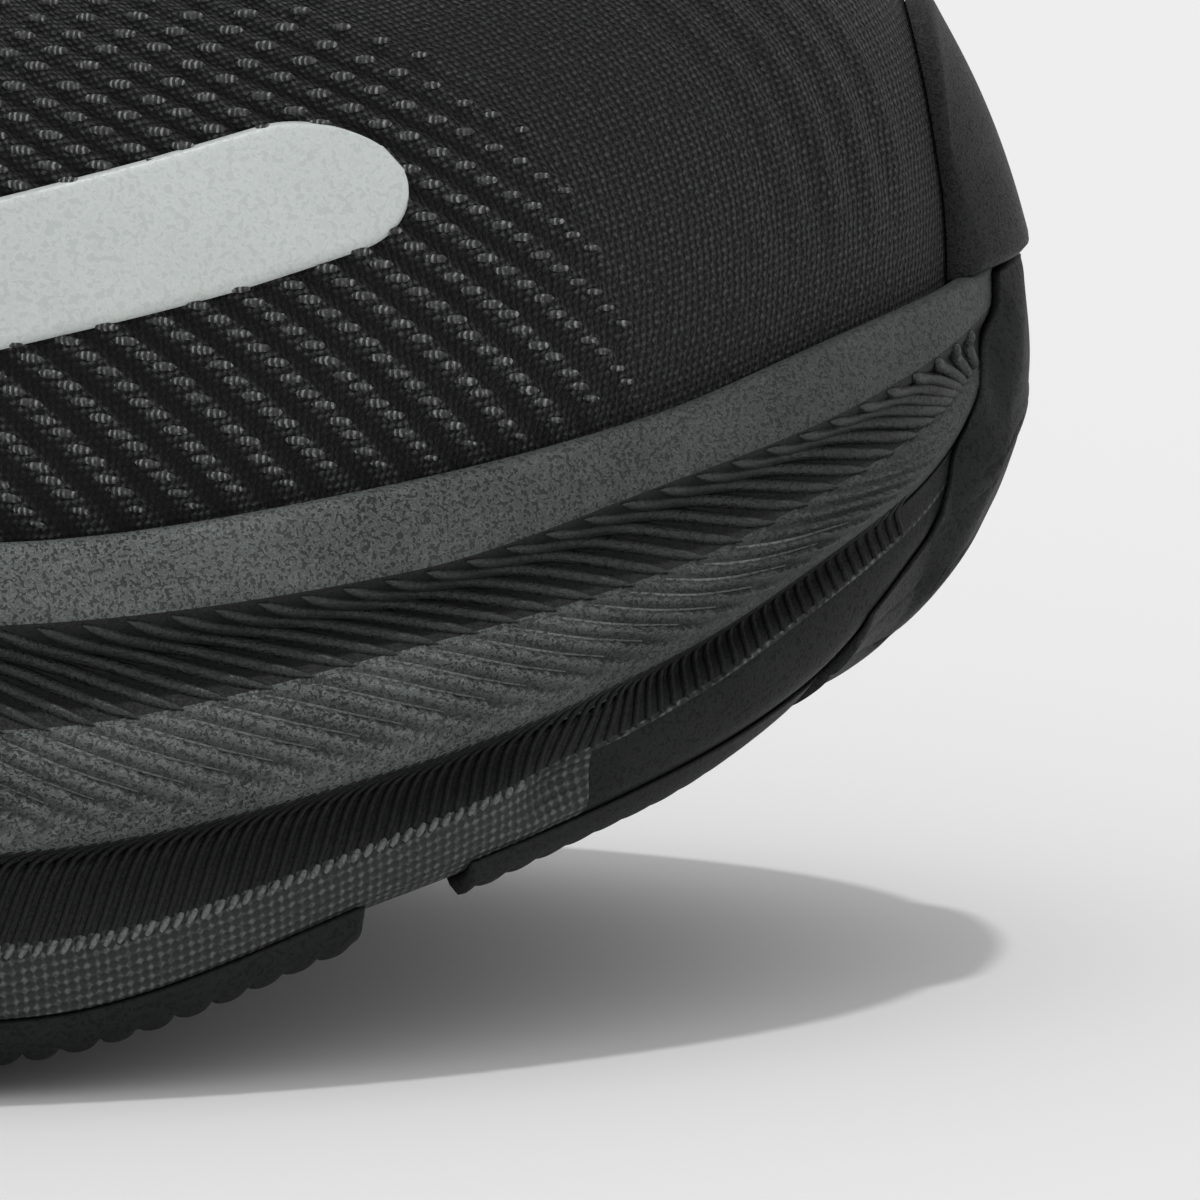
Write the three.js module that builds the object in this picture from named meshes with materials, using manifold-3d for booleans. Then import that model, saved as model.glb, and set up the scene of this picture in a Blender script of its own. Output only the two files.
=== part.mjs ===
// A right-foot running shoe, in millimetres.
// +X runs from heel to toe, +Z is up, and the outer (lateral) side of the foot is at -Y.
// The origin is on the ground, at the middle of the shoe's bounding box.
import * as THREE from "three";
import { mergeVertices } from "three/addons/utils/BufferGeometryUtils.js";
import Module from "manifold-3d";

// ---------------------------------------------------------------- driving dimensions
const SHOE_LENGTH = 300;
const FOREFOOT_WIDTH = 107;
const GAP = 0.3; // what neighbouring pieces keep between them
const AROUND = 72; // stations round the sole's outline
const UP = 10; // rows from the footbed to the upper's opening
const RUBBER = 2.5; // outsole thickness under the foam
const LUG_HEIGHT = 1.4;
const LIP_WALL = 1.9; // foam lip that holds the upper
const LIP_DEPTH = 7; // how far the footbed lies below the lip
const KNIT = 2.2; // upper's thickness
const LINING = 0.8;
const COLLAR_PAD = 5.2; // foam in the collar at its thickest
const LAYER_CLEAR = 0.2; // more room for a layer whose edges aren't shared with the next one
const PAD_CLEAR = 1.1; // between the collar foam and its lining
const COUNTER = 1.4; // heel counter's wall
const OVERLAY = 0.8; // welded overlays on the upper
const BUMPER = 1.5; // toe bumper's thickness
const STROBEL = 1.6;
const SOCKLINER = 4.2;
const SOCK_COVER = 0.7;
const SOCK_CLEAR = 0.9; // round the sockliner, so that it lifts out
const TONGUE_COVER = 1;
const TONGUE_FOAM = 4.6;
const TONGUE_PLY_GAP = 0.5; // between the tongue's layers, whose faces are curved
const TONGUE_DROP = 3; // tongue's face below the throat's edge, where the lace runs
const TONGUE_SIDE = 2; // from the tongue's widest edge to the throat's
const TONGUE_RISE = 26; // how far the tongue stands past the top eyelets, along its slope
const LACE = 2.4; // lace's diameter where it is gathered
const EYELET_ROWS = 6;
const EYELET_PITCH = 13; // along the shoe
const FIRST_EYELET_X = 51;
const LACE_CLEAR = 0.8; // between the lace and the tongue
const EYELET_EDGE = 7.5; // eyelet's centre to the throat's edge
const EYELET_ROOM = 1.3; // round the lace in an eyelet
const EYELET_BORE = LACE / 2 + EYELET_ROOM; // radius
const EYELET_WALL = 0.8;
const EYELET_FLANGE = 1.4; // how far the flange stands past the barrel
const EYELET_FLANGE_THICK = 0.7;
const EYELET_SEAT = 0.4; // under the flange, whose face is flat and the eyestay's isn't
const AGLET_LENGTH = 14;
const AGLET_LEAN = 2; // how far its tip stands off the upper's inner face, past the lace's depth
const AGLET_WALL = 0.25; // how much thinner than the lace's radius an aglet is
const STRIP_HEIGHT = 8; // reflective strip
const TAB_WIDTH = 12; // heel pull loop
const TAB_WEBBING = 1.3;
const TAB_HEIGHT = 24;
const TAB_DEPTH = 9.5;

const PLATE_FRONT = 40; // stiffening plate's ends along the shoe
const PLATE_BACK = -70;
const PLATE_WIDTH = 36;
const PLATE_THICK = 1.6;
const LUG_SHARE = 0.5; // part of each lug's pitch that its face fills
const PAD_SEAT = 0.4; // between the pads and the foam
const PAD_APART = 2; // from the middle line to the inner edge of a pad
const PUFF_REACH = 5 / 72; // round the shoe, either way
const PUFF_HIGH = 0.38; // as a share of the upper's height
const PUFF = 0.9; // toe stiffener's thickness
const TUCK_BACK = 0.0075; // from the top eyelet back to the tucked end, round the shoe
const TUCK_LENGTHS = [1.5, 9, 16, 24]; // down inside from the edge, to the lace's end
const TONGUE_TUCK = 7; // how far the tongue's sewn end lies past the throat's front
const TONGUE_ARCH = 0.0195; // fall of the tongue to its sides, per mm
const TAB_V = 0.78; // pull loop's foot, as a share of the upper's height
// Places round the shoe, from 0 at the toe to 0.5 at the heel.
const STAY_FROM = 0.105;
const STAY_TO = 0.335;
const THROAT_TOP = 8 / 24;
const LINING_FROM = 25 / 72;
const SOCK_NARROWS = 0.27;
const COLLAR_FROM = 0.352;
const COUNTER_FROM = 28 / 72;
const BUMPER_REACH = 0.03;
const STRIP_FROM = 0.137;
const STRIP_TO = 0.24;
const STRIP_Z = 63; // height of the strip's front end
const STRIP_RISE = -120; // climb of the strip towards the heel, per unit round the shoe
// Outsole pads: extent round the shoe, from the wall (s 0) past the bottom's edge (s 1) and in
// by reach for each further unit of s.
const PADS = {
  toe: { t0: -0.075, t1: 0.075, s0: 0.02, s1: 0.75, lugs: 9 },
  front_lateral: { t0: 0.082, t1: 0.146, s0: 0.35, s1: 3, reach: 11, lugs: 5 },
  front_medial: { t0: -0.146, t1: -0.082, s0: 0.35, s1: 3, reach: 11, lugs: 5 },
  ball_lateral: { t0: 0.16, t1: 0.285, s0: 0.35, s1: 3, reach: 11, lugs: 9 },
  ball_medial: { t0: -0.285, t1: -0.16, s0: 0.35, s1: 3, reach: 11, lugs: 9 },
  heel_lateral: { t0: 0.33, t1: 0.438, s0: 0.35, s1: 3, reach: 7.5, lugs: 7 },
  heel_medial: { t0: -0.438, t1: -0.33, s0: 0.35, s1: 3, reach: 7.5, lugs: 7 },
  heel_rear: { t0: 0.45, t1: 0.55, s0: 0.35, s1: 1, lugs: 5 },
};

const SX = SHOE_LENGTH / 300; // stretches the tables below, which are drawn for a 300 mm shoe
const SY = FOREFOOT_WIDTH / 107;

// ---------------------------------------------------------------- shape tables
// Outline of the sole at its widest level: x, lateral y, medial y, from toe to heel.
const OUTLINE = [
  [150, 7, 7],
  [147, -7.5, 20],
  [138, -20.5, 32],
  [122, -33.5, 42.5],
  [100, -45, 49.5],
  [72, -52, 53],
  [40, -53.5, 51],
  [5, -49.5, 43.5],
  [-35, -45, 38],
  [-75, -44, 38.5],
  [-110, -41, 38.5],
  [-138, -28, 27],
  [-150, 0, 0],
];
// Edge of the throat and collar opening, one point for each point of the outline:
// x, lateral y, medial y, z.
const OPENING = [
  [66, 1, 1, 85.5],
  [65.2, -4, 5.5, 85.7],
  [62.5, -8, 9, 86.3],
  [58.5, -10.8, 12, 87.6],
  [52, -12.8, 14, 90.2],
  [40, -14.5, 15.5, 95.2],
  [24, -16.5, 17, 101.5],
  [4, -18.5, 19, 109],
  [-22, -22, 22.5, 118],
  [-54, -31.5, 30.5, 104],
  [-90, -35, 33, 96.5],
  [-122, -25, 24.5, 106],
  [-136, 0, 0, 118],
];
// Heights of the sole's levels along the shoe, from the lip's top down to the foam's bottom.
const LEVEL_X = [150, 144, 137, 126, 107, 80, 40, 0, -50, -100, -130, -150];
const LEVELS = {
  lip_top: [50.6, 49.3, 47.4, 44.4, 41.3, 38.7, 38.5, 41, 46, 52, 55, 56],
  lip_base: [48, 45.4, 43, 40.2, 35.6, 33.4, 33, 35, 39.5, 45, 48, 49.5],
  rib_floor: [46.6, 43.4, 40.6, 37.2, 32.8, 29.6, 29.2, 31, 35, 41, 44.5, 46.5],
  ridge_top: [45, 40.6, 37.6, 33.6, 29.8, 25.6, 25.4, 27, 31, 37, 41, 44],
  ridge_peak: [44, 39.4, 36, 31.2, 26.4, 21.9, 21.4, 22.6, 26, 31, 36, 40],
  ridge_base: [43, 38, 34, 28.6, 22.8, 18.2, 17.4, 18, 19.5, 23, 27.5, 32],
  low_floor: [42, 36.6, 32.4, 26.8, 20.6, 16.2, 15.2, 15.6, 16.4, 19, 23.5, 28.5],
  shelf: [41, 34.8, 30.5, 24.6, 17.5, 10.8, 10, 10.2, 11.5, 14.5, 19, 25],
  wall_foot: [40, 32.6, 26.2, 21, 14.6, 6.6, 5.6, 5.6, 5.8, 7, 10.5, 17],
  bow_high: [31, 28, 23.6, 19.4, 13.6, 6, 4.9, 4.9, 5, 6, 9, 13.4],
  bow_low: [23.5, 22.6, 20.6, 17.8, 12.7, 5.6, 4.4, 4.4, 4.5, 5.5, 8.2, 11],
  bottom: [19.6, 19.4, 18.6, 16.8, 12, 5.4, 4.2, 4.2, 4.2, 5.2, 7.8, 10],
};
// How far each of those levels lies inside the outline.
const INSETS = {
  lip_top: [2.6, 3.6, 4.4, 4.6, 4.8, 5, 5, 5, 5, 5, 4.6, 4.4],
  lip_base: [2.4, 2.4, 2.4, 2.4, 2.5, 2.6, 2.6, 2.6, 2.6, 2.6, 2.4, 2.2],
  rib_floor: [2.7, 3.6, 4.6, 5.2, 5.6, 5.6, 5.4, 5.2, 5, 4.8, 4.4, 4],
  ridge_top: [2.6, 2.2, 2, 1.8, 1.6, 1.4, 1.4, 1.4, 1.4, 1.4, 1.4, 1.4],
  ridge_peak: [2.5, 1.3, 0.7, 0.3, 0, 0, 0, 0, 0, 0, 0, 0],
  ridge_base: [2.6, 1.8, 1.4, 1.2, 1.2, 1.2, 1.2, 1.2, 1.2, 1, 1, 1],
  low_floor: [2.7, 2.6, 3.2, 3.6, 3.8, 3.8, 3.6, 3.4, 3.2, 3, 2.6, 2.4],
  shelf: [2.6, 2.2, 1.8, 1.3, 1, 0.9, 0.9, 1, 1, 1, 1.2, 1.6],
  wall_foot: [2.6, 2.6, 2.4, 2, 1.6, 1.4, 1.4, 1.5, 1.6, 1.8, 2.6, 4],
  bow_high: [6.6, 6, 5, 3.4, 2.3, 1.9, 1.9, 2, 2.1, 2.6, 4.2, 6.4],
  bow_low: [16, 13, 9.6, 5.6, 3.5, 2.9, 2.8, 2.9, 3, 3.8, 6.4, 9.4],
  bottom: [28, 23, 17, 9.6, 5.6, 4.6, 4.4, 4.6, 4.8, 6, 9.6, 13],
};
// Run of the upper from the sole to its opening: how the surface sets off and how it arrives.
const RUN_X = [150, 138, 122, 100, 72, 40, 5, -35, -75, -110, -138, -150];
const RUN = {
  start_up: [38, 36, 33, 30, 28, 28, 29, 30, 22, 20, 22, 24],
  end_out: [44, 40, 32, 24, 20, 18, 16, 13, 5, 2, 2, 2],
  end_up: [-9, -9, -10, -12, -14, -16, -18, -21, -24, -24, -26, -28],
};

// ---------------------------------------------------------------- curves and solids
const wasm = await Module();
wasm.setup();

// Smooth function through keyed values that never overshoots them (x in falling order).
function keyed(xs, values) {
  const x = [...xs].reverse();
  const y = [...values].reverse();
  const slope = x.slice(1).map((b, i) => (y[i + 1] - y[i]) / (b - x[i]));
  const tangent = x.map((_, i) => {
    const before = slope[Math.max(0, i - 1)];
    const after = slope[Math.min(slope.length - 1, i)];
    return before * after <= 0 ? 0 : (2 * before * after) / (before + after);
  });
  return (at) => {
    const p = THREE.MathUtils.clamp(at, x[0], x[x.length - 1]);
    let i = 0;
    while (i < x.length - 2 && p > x[i + 1]) i += 1;
    const h = x[i + 1] - x[i];
    const s = (p - x[i]) / h;
    const a = (1 + 2 * s) * (1 - s) * (1 - s) * y[i] + s * s * (3 - 2 * s) * y[i + 1];
    return a + h * (s * (1 - s) * (1 - s) * tangent[i] + s * s * (s - 1) * tangent[i + 1]);
  };
}

// Closed curve round the shoe from a toe-to-heel table with a lateral and a medial y.
// Its parameter is 0 at the toe, 0.5 at the heel, and t and 1 - t face each other.
function roundCurve(table, zOf) {
  const last = table.length - 1;
  const lateral = table.map((row) => new THREE.Vector3(row[0] * SX, row[1] * SY, zOf(row)));
  const medial = table.slice(1, last).map((row) => new THREE.Vector3(row[0] * SX, row[2] * SY, zOf(row)));
  return new THREE.CatmullRomCurve3([...lateral, ...medial.reverse()], true, "centripetal");
}

const wrap = (t) => ((t % 1) + 1) % 1;
const outline = roundCurve(OUTLINE, () => 0);
const opening = roundCurve(OPENING, (row) => row[3]);
const alongLevels = LEVEL_X.map((x) => x * SX);
const levelHeight = Object.values(LEVELS).map((row) => keyed(alongLevels, row));
const levelInset = Object.values(INSETS).map((row) => keyed(alongLevels, row));
const levelNames = Object.keys(LEVELS);
const heightOf = (name) => levelHeight[levelNames.indexOf(name)];
const insetOf = (name) => levelInset[levelNames.indexOf(name)];
const alongRun = RUN_X.map((x) => x * SX);
const run = Object.fromEntries(Object.entries(RUN).map(([name, row]) => [name, keyed(alongRun, row)]));

// Outward direction of the outline in plan.
function outward(t) {
  const a = outline.getPoint(wrap(t - 0.004));
  const b = outline.getPoint(wrap(t + 0.004));
  return new THREE.Vector3(b.y - a.y, a.x - b.x, 0).normalize().multiplyScalar(-1);
}

// Point inside the outline by inset, at height z.
function planPoint(t, inset, z) {
  return outline.getPoint(wrap(t)).addScaledVector(outward(t), -inset).setZ(z);
}

// Sole surface: level 0 is the lip's top, the last one is the foam's bottom edge.
function solePoint(t, level) {
  const x = outline.getPoint(wrap(t)).x;
  const i = Math.min(Math.floor(level), levelNames.length - 2);
  const f = level - i;
  const z = THREE.MathUtils.lerp(levelHeight[i](x), levelHeight[i + 1](x), f);
  return planPoint(t, THREE.MathUtils.lerp(levelInset[i](x), levelInset[i + 1](x), f), z);
}

// Solid from a list of vertices and triangles, turned to face out.
function solidOf(vertices, triangles) {
  const raw = new THREE.BufferGeometry();
  raw.setAttribute("position", new THREE.Float32BufferAttribute(vertices.flatMap((v) => v.toArray()), 3));
  raw.setIndex(triangles.flat());
  return geometrySolid(raw);
}

// Solid from a closed geometry, with its doubled vertices joined.
function geometrySolid(source) {
  const bare = source.index ? source.toNonIndexed() : source.clone();
  bare.deleteAttribute("normal");
  bare.deleteAttribute("uv");
  const merged = mergeVertices(bare, 1e-3);
  const index = merged.index.array;
  const triVerts = [];
  for (let i = 0; i < index.length; i += 3) {
    const [a, b, c] = [index[i], index[i + 1], index[i + 2]];
    if (a !== b && b !== c && a !== c) triVerts.push(a, b, c);
  }
  const build = (order) => new wasm.Manifold(new wasm.Mesh({
    numProp: 3,
    vertProperties: Float32Array.from(merged.attributes.position.array),
    triVerts: Uint32Array.from(order),
  }));
  const made = build(triVerts);
  if (made.volume() > 0) return made;
  const turned = [];
  for (let i = 0; i < triVerts.length; i += 3) turned.push(triVerts[i], triVerts[i + 2], triVerts[i + 1]);
  return build(turned);
}

// Geometry to show, from a solid.
function geometryOf(solid) {
  const mesh = solid.getMesh();
  const positions = [];
  for (let i = 0; i < mesh.numVert; i += 1) {
    positions.push(...mesh.vertProperties.subarray(i * mesh.numProp, i * mesh.numProp + 3));
  }
  const geometry = new THREE.BufferGeometry();
  geometry.setAttribute("position", new THREE.Float32BufferAttribute(positions, 3));
  geometry.setIndex([...mesh.triVerts]);
  geometry.computeVertexNormals();
  return geometry;
}

// Solid through closed rings that face each other, capped by strips across the first and last.
function loftRings(rings) {
  const n = rings[0].length;
  const triangles = [];
  for (let k = 0; k + 1 < rings.length; k += 1) {
    for (let i = 0; i < n; i += 1) {
      const [a, b] = [k * n + i, k * n + ((i + 1) % n)];
      triangles.push([a, b, b + n], [a, b + n, a + n]);
    }
  }
  const cap = (base, turn) => {
    for (let i = 0; i < n / 2; i += 1) {
      const [a, b, c, d] = [base + i, base + i + 1, base + ((n - i - 1) % n), base + ((n - i) % n)];
      for (const tri of [[a, b, c], [a, c, d]]) triangles.push(turn ? tri : [tri[0], tri[2], tri[1]]);
    }
  };
  cap(0, false);
  cap((rings.length - 1) * n, true);
  return solidOf(rings.flat(), triangles);
}

// Solid between two matching grids, closed along their edges. around joins the first and last columns.
function shellBetween(outer, inner, around = false) {
  const [nu, nv] = [outer.length, outer[0].length];
  const triangles = [];
  const at = (side, i, j) => side * nu * nv + (i % nu) * nv + j;
  const quad = (a, b, c, d) => triangles.push([a, b, c], [a, c, d]);
  for (let i = 0; i < (around ? nu : nu - 1); i += 1) {
    for (let j = 0; j + 1 < nv; j += 1) {
      quad(at(0, i, j), at(0, i + 1, j), at(0, i + 1, j + 1), at(0, i, j + 1));
      quad(at(1, i, j), at(1, i, j + 1), at(1, i + 1, j + 1), at(1, i + 1, j));
    }
    quad(at(0, i, 0), at(1, i, 0), at(1, i + 1, 0), at(0, i + 1, 0));
    quad(at(0, i, nv - 1), at(0, i + 1, nv - 1), at(1, i + 1, nv - 1), at(1, i, nv - 1));
  }
  if (!around) {
    for (let j = 0; j + 1 < nv; j += 1) {
      quad(at(0, 0, j), at(0, 0, j + 1), at(1, 0, j + 1), at(1, 0, j));
      quad(at(0, nu - 1, j), at(1, nu - 1, j), at(1, nu - 1, j + 1), at(0, nu - 1, j + 1));
    }
  }
  return solidOf([...outer.flat(), ...inner.flat()], triangles);
}

const steps = (from, to, count) =>
  Array.from({ length: count + 1 }, (_, i) => THREE.MathUtils.lerp(from, to, i / count));
const stations = Array.from({ length: AROUND }, (_, i) => i / AROUND);

// ---------------------------------------------------------------- the upper's surface
const LIP_SHARE = 0.1; // part of v that lies inside the lip
const footbedZ = (x) => heightOf("lip_top")(x) - LIP_DEPTH;
const footInset = (x) => insetOf("lip_top")(x) + LIP_WALL + GAP + KNIT / 2;

// Middle of the upper's wall: t round the shoe, v from the footbed to the opening's edge.
// It stands upright inside the sole's lip and curves over above it.
function wallPoint(t, v) {
  const foot = outline.getPoint(wrap(t));
  const out = outward(t);
  const start = planPoint(t, footInset(foot.x), lipTop(t));
  if (v < LIP_SHARE) return start.setZ(lipTop(t) - (LIP_DEPTH - GAP) * (1 - v / LIP_SHARE));
  const end = opening.getPoint(wrap(t));
  const leave = start.clone();
  leave.z += run.start_up(foot.x);
  const arrive = end.clone().addScaledVector(out, run.end_out(foot.x));
  arrive.z += run.end_up(foot.x);
  return new THREE.CubicBezierCurve3(start, leave, arrive, end).getPoint((v - LIP_SHARE) / (1 - LIP_SHARE));
}

function wallNormal(t, v) {
  const across = wallPoint(t + 0.004, v).sub(wallPoint(t - 0.004, v));
  const from = v <= LIP_SHARE ? 0 : Math.max(LIP_SHARE, v - 0.02);
  const to = v <= LIP_SHARE ? LIP_SHARE * 0.99 : Math.min(1, v + 0.02);
  return wallPoint(t, to).sub(wallPoint(t, from)).cross(across).normalize();
}

// Point of the upper's wall moved out by depth, or in where depth is negative.
const upperPoint = (t, v, depth) => wallPoint(t, v).addScaledVector(wallNormal(t, v), depth);

// Values from one end to the other, at the shares of a whole that every layer has in common,
// so that layers stay parallel.
function placesBetween(from, to, shares) {
  const [low, high] = [Math.min(from, to), Math.max(from, to)];
  const [first, last] = [Math.ceil(low * shares), Math.floor(high * shares)];
  const shared = steps(first, last, last - first).map((i) => i / shares);
  return [low, ...shared.filter((t) => t - low > 0.003 && high - t > 0.003), high];
}

// Solid that follows the upper: from t0 to t1, between low(t) and high(t) and between two depths.
// It has nv rows, or the shared ones where nv isn't given.
function onUpper({ t0, t1, nv, low, high, outer, inner, around = false }) {
  const columns = around ? stations : placesBetween(t0, t1, AROUND);
  const rows = (t) => (nv ? steps(low(t), high(t), nv) : placesBetween(low(t), high(t), UP));
  const grid = (depth) => columns.map((t) => rows(t).map((v) => upperPoint(t, v, depth(t, v))));
  return shellBetween(grid(outer), grid(inner), around);
}

// v at a distance in from the opening's edge, measured along the wall.
function fromEdge(t, distance) {
  let v = 1;
  while (v > 0.3 && wallPoint(t, v).distanceTo(wallPoint(t, 1)) < distance) v -= 0.005;
  return v;
}
// v at a height on the wall.
function atHeight(t, z) {
  let v = 0;
  while (v < 1 && wallPoint(t, v).z < z) v += 0.005;
  return v;
}
const lipTop = (t) => heightOf("lip_top")(outline.getPoint(wrap(t)).x);

// ---------------------------------------------------------------- sole
const SPLIT = levelNames.indexOf("low_floor"); // level where the two foams meet
const xAt = (t) => outline.getPoint(wrap(t)).x;
const ringOf = (level, rise = 0) => stations.map((t) => {
  const p = solePoint(t, level);
  return p.setZ(p.z + rise);
});

// Upper foam: the footbed inside its lip, the ribbed channel and the ridge.
function carrierFoam() {
  const lipInset = (x) => footInset(x) - KNIT / 2 - GAP;
  const lipInner = stations.map((t) => planPoint(t, lipInset(xAt(t)), lipTop(t)));
  const footbedEdge = stations.map((t) => planPoint(t, lipInset(xAt(t)), footbedZ(xAt(t))));
  const wall = steps(0, SPLIT, SPLIT).map((level) => ringOf(level, level === SPLIT ? GAP : 0));
  return loftRings([footbedEdge, lipInner, ...wall]);
}

// Lower foam: from the second channel to the ground side, with the plate's pocket in its top.
function baseFoam() {
  const last = levelNames.length - 1;
  const foam = loftRings(steps(SPLIT, last, last - SPLIT).map((level) => ringOf(level)));
  return foam.subtract(plate(PLATE_THICK + GAP, 3, GAP));
}

// Stiffening plate under the arch, from depth below the foams' joint to a height above it.
function plate(depth, above, grow) {
  const ends = [PLATE_FRONT + grow, PLATE_BACK - grow];
  const grid = (rise) => steps(ends[0], ends[1], 8).map((x) => [-1, 0, 1].map((b) => {
    const half = PLATE_WIDTH / 2 + grow;
    return new THREE.Vector3(x, b * half, heightOf("low_floor")(x) + rise);
  }));
  return shellBetween(grid(above), grid(-depth));
}

// Foam's underside at t: down the wall from the pads' top edge to the bottom, then inwards.
const PAD_TOP = levelNames.indexOf("wall_foot");
const BOTTOM = levelNames.length - 1;
function undersidePoint(t, s, reach = 0) {
  if (s <= 1) return solePoint(t, THREE.MathUtils.lerp(PAD_TOP, BOTTOM, s));
  const edge = solePoint(t, BOTTOM);
  const inward = solePoint(1 - wrap(t), BOTTOM).sub(edge);
  const most = inward.length() / 2 - PAD_APART;
  return edge.addScaledVector(inward.normalize(), Math.min((s - 1) * reach, (most * (s - 1)) / 2));
}

function undersideNormal(t, s, reach) {
  const along = undersidePoint(t + 0.003, s, reach).sub(undersidePoint(t - 0.003, s, reach));
  const over = undersidePoint(t, s + 0.05, reach).sub(undersidePoint(t, Math.max(0, s - 0.05), reach));
  return along.cross(over).normalize();
}

// Rubber pad along the sole's edge, whose face rises to a row of lugs across it.
function outsolePad({ t0, t1, s0, s1, reach, lugs }) {
  const inwards = s1 > 1 ? steps(1, s1, 2).slice(1) : [];
  const rows = [...placesBetween(s0, Math.min(1, s1), BOTTOM - PAD_TOP), ...inwards];
  const pitch = (t1 - t0) / lugs;
  const columns = [];
  for (let i = 0; i < lugs; i += 1) {
    const start = t0 + pitch * i;
    columns.push(
      [start, 0],
      [start + 0.1 * pitch, LUG_HEIGHT],
      [start + (0.1 + LUG_SHARE) * pitch, LUG_HEIGHT],
      [start + (0.2 + LUG_SHARE) * pitch, 0],
    );
  }
  columns.push([t1, 0]);
  const sheet = (depthOf) => columns.map(([t, lug]) => rows.map((s) =>
    undersidePoint(t, s, reach).addScaledVector(undersideNormal(t, s, reach), depthOf(lug))));
  return shellBetween(sheet((lug) => PAD_SEAT + RUBBER + lug), sheet(() => PAD_SEAT));
}

// Flat layer on the footbed: inset(t) from the upper's inner face, from low to high above the footbed.
function footbedLayer(inset, low, high) {
  const ring = (rise) => stations.map((t) => {
    const x = xAt(t);
    return planPoint(t, footInset(x) + KNIT / 2 + inset(t), footbedZ(x) + rise);
  });
  return loftRings([ring(low), ring(high)]);
}

// ---------------------------------------------------------------- inside of the collar
const sideOf = (t) => Math.min(wrap(t), 1 - wrap(t)); // 0 at the toe, 0.5 at the heel
const smooth = THREE.MathUtils.smoothstep;
const counterHere = (t) => smooth(sideOf(t), COUNTER_FROM - 2 / AROUND, COUNTER_FROM - 1 / AROUND);
const SKIN = -KNIT / 2 - GAP; // depth of the first layer behind the upper
const padSeat = (t) => SKIN - (COUNTER + GAP) * counterHere(t);
const swell = (t, v) => smooth(v, 0.4, 0.72) * (1 - 0.6 * smooth(v, 0.86, 1))
  * smooth(sideOf(t), COLLAR_FROM - 0.01, COLLAR_FROM + 0.05);
const padRoom = (t, v) => (COLLAR_PAD + GAP) * swell(t, v);

function collarFoam(t0, t1) {
  return onUpper({
    t0, t1, low: () => 0.52, high: () => 0.965,
    outer: (t) => padSeat(t) - LAYER_CLEAR, inner: (t, v) => padSeat(t) + PAD_CLEAR - padRoom(t, v),
  });
}

function collarLining() {
  const depth = (t, v) => padSeat(t) - padRoom(t, v);
  return onUpper({
    t0: LINING_FROM, t1: 1 - LINING_FROM, low: () => 0.14, high: () => 0.985,
    outer: depth, inner: (t, v) => depth(t, v) - LINING,
  });
}

function heelCounter() {
  return onUpper({
    t0: COUNTER_FROM, t1: 1 - COUNTER_FROM, low: () => 0.13, high: () => 0.7,
    outer: () => SKIN, inner: () => SKIN - COUNTER,
  });
}

// ---------------------------------------------------------------- overlays on the upper
const onSkin = KNIT / 2 + GAP;
const either = (t, medial) => (medial ? 1 - t : t);

function overlay(t0, t1, nv, low, high, thick = () => OVERLAY) {
  return onUpper({ t0, t1, nv, low, high, outer: (t, v) => onSkin + thick(t, v), inner: () => onSkin });
}

function eyestay(medial) {
  const low = (t) => fromEdge(t, 2 * EYELET_EDGE);
  return overlay(either(STAY_FROM, medial), either(STAY_TO, medial), 2, low, (t) => fromEdge(t, 0.8));
}

const aboveLip = (t) => atHeight(t, lipTop(t) + 1.5);
function toeBumper() {
  const crown = (t) => Math.sqrt(Math.max(0, 1 - (sideOf(t) / BUMPER_REACH) ** 2));
  const high = (t) => aboveLip(t) + 0.03 + 0.15 * crown(t);
  const thick = (t) => BUMPER * (0.55 + 0.45 * crown(t));
  const seat = onSkin + LAYER_CLEAR;
  return onUpper({
    t0: -BUMPER_REACH * 0.97, t1: BUMPER_REACH * 0.97, nv: 4, low: aboveLip, high,
    outer: (t) => seat + thick(t), inner: () => seat,
  });
}

function toePuff() {
  return onUpper({
    t0: -PUFF_REACH, t1: PUFF_REACH, low: () => 0.14, high: () => PUFF_HIGH,
    outer: () => SKIN - LAYER_CLEAR, inner: () => SKIN - LAYER_CLEAR - PUFF,
  });
}

function heelClip() {
  const high = (t) => 0.56 - 1.6 * Math.abs(0.5 - wrap(t));
  return overlay(0.42, 0.58, 3, aboveLip, high, () => 2 * OVERLAY);
}

function heelPatch() {
  return overlay(0.485, 0.515, 2, () => 0.62, () => 0.76);
}

function reflectiveStrip(medial) {
  const middle = (t) => atHeight(t, STRIP_Z + STRIP_RISE * (sideOf(t) - STRIP_FROM));
  const half = (t) => {
    const end = Math.min(sideOf(t) - STRIP_FROM, STRIP_TO - sideOf(t)) / 0.012;
    const round = Math.sqrt(Math.max(0.05, 1 - (1 - Math.min(1, end)) ** 2));
    return (atHeight(t, STRIP_Z + STRIP_HEIGHT / 2) - atHeight(t, STRIP_Z - STRIP_HEIGHT / 2)) * round / 2;
  };
  return overlay(either(STRIP_FROM, medial), either(STRIP_TO, medial), 2,
    (t) => middle(t) - half(t), (t) => middle(t) + half(t), () => OVERLAY / 2);
}

// ---------------------------------------------------------------- tongue
const throatEnd = opening.getPoint(0);
const throatTop = opening.getPoint(THROAT_TOP);
const tongueBaseX = throatEnd.x + TONGUE_TUCK;
const tongueTipX = throatTop.x - TONGUE_RISE;
const tongueHalf = -throatTop.y - TONGUE_SIDE;
const throatSlope = (throatTop.z - throatEnd.z) / (throatEnd.x - throatTop.x);
// Where the opening's lateral edge passes x.
function throatAt(x) {
  let t = 0;
  while (t < THROAT_TOP + 0.02 && opening.getPoint(t).x > x) t += 0.0005;
  return t;
}
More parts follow.
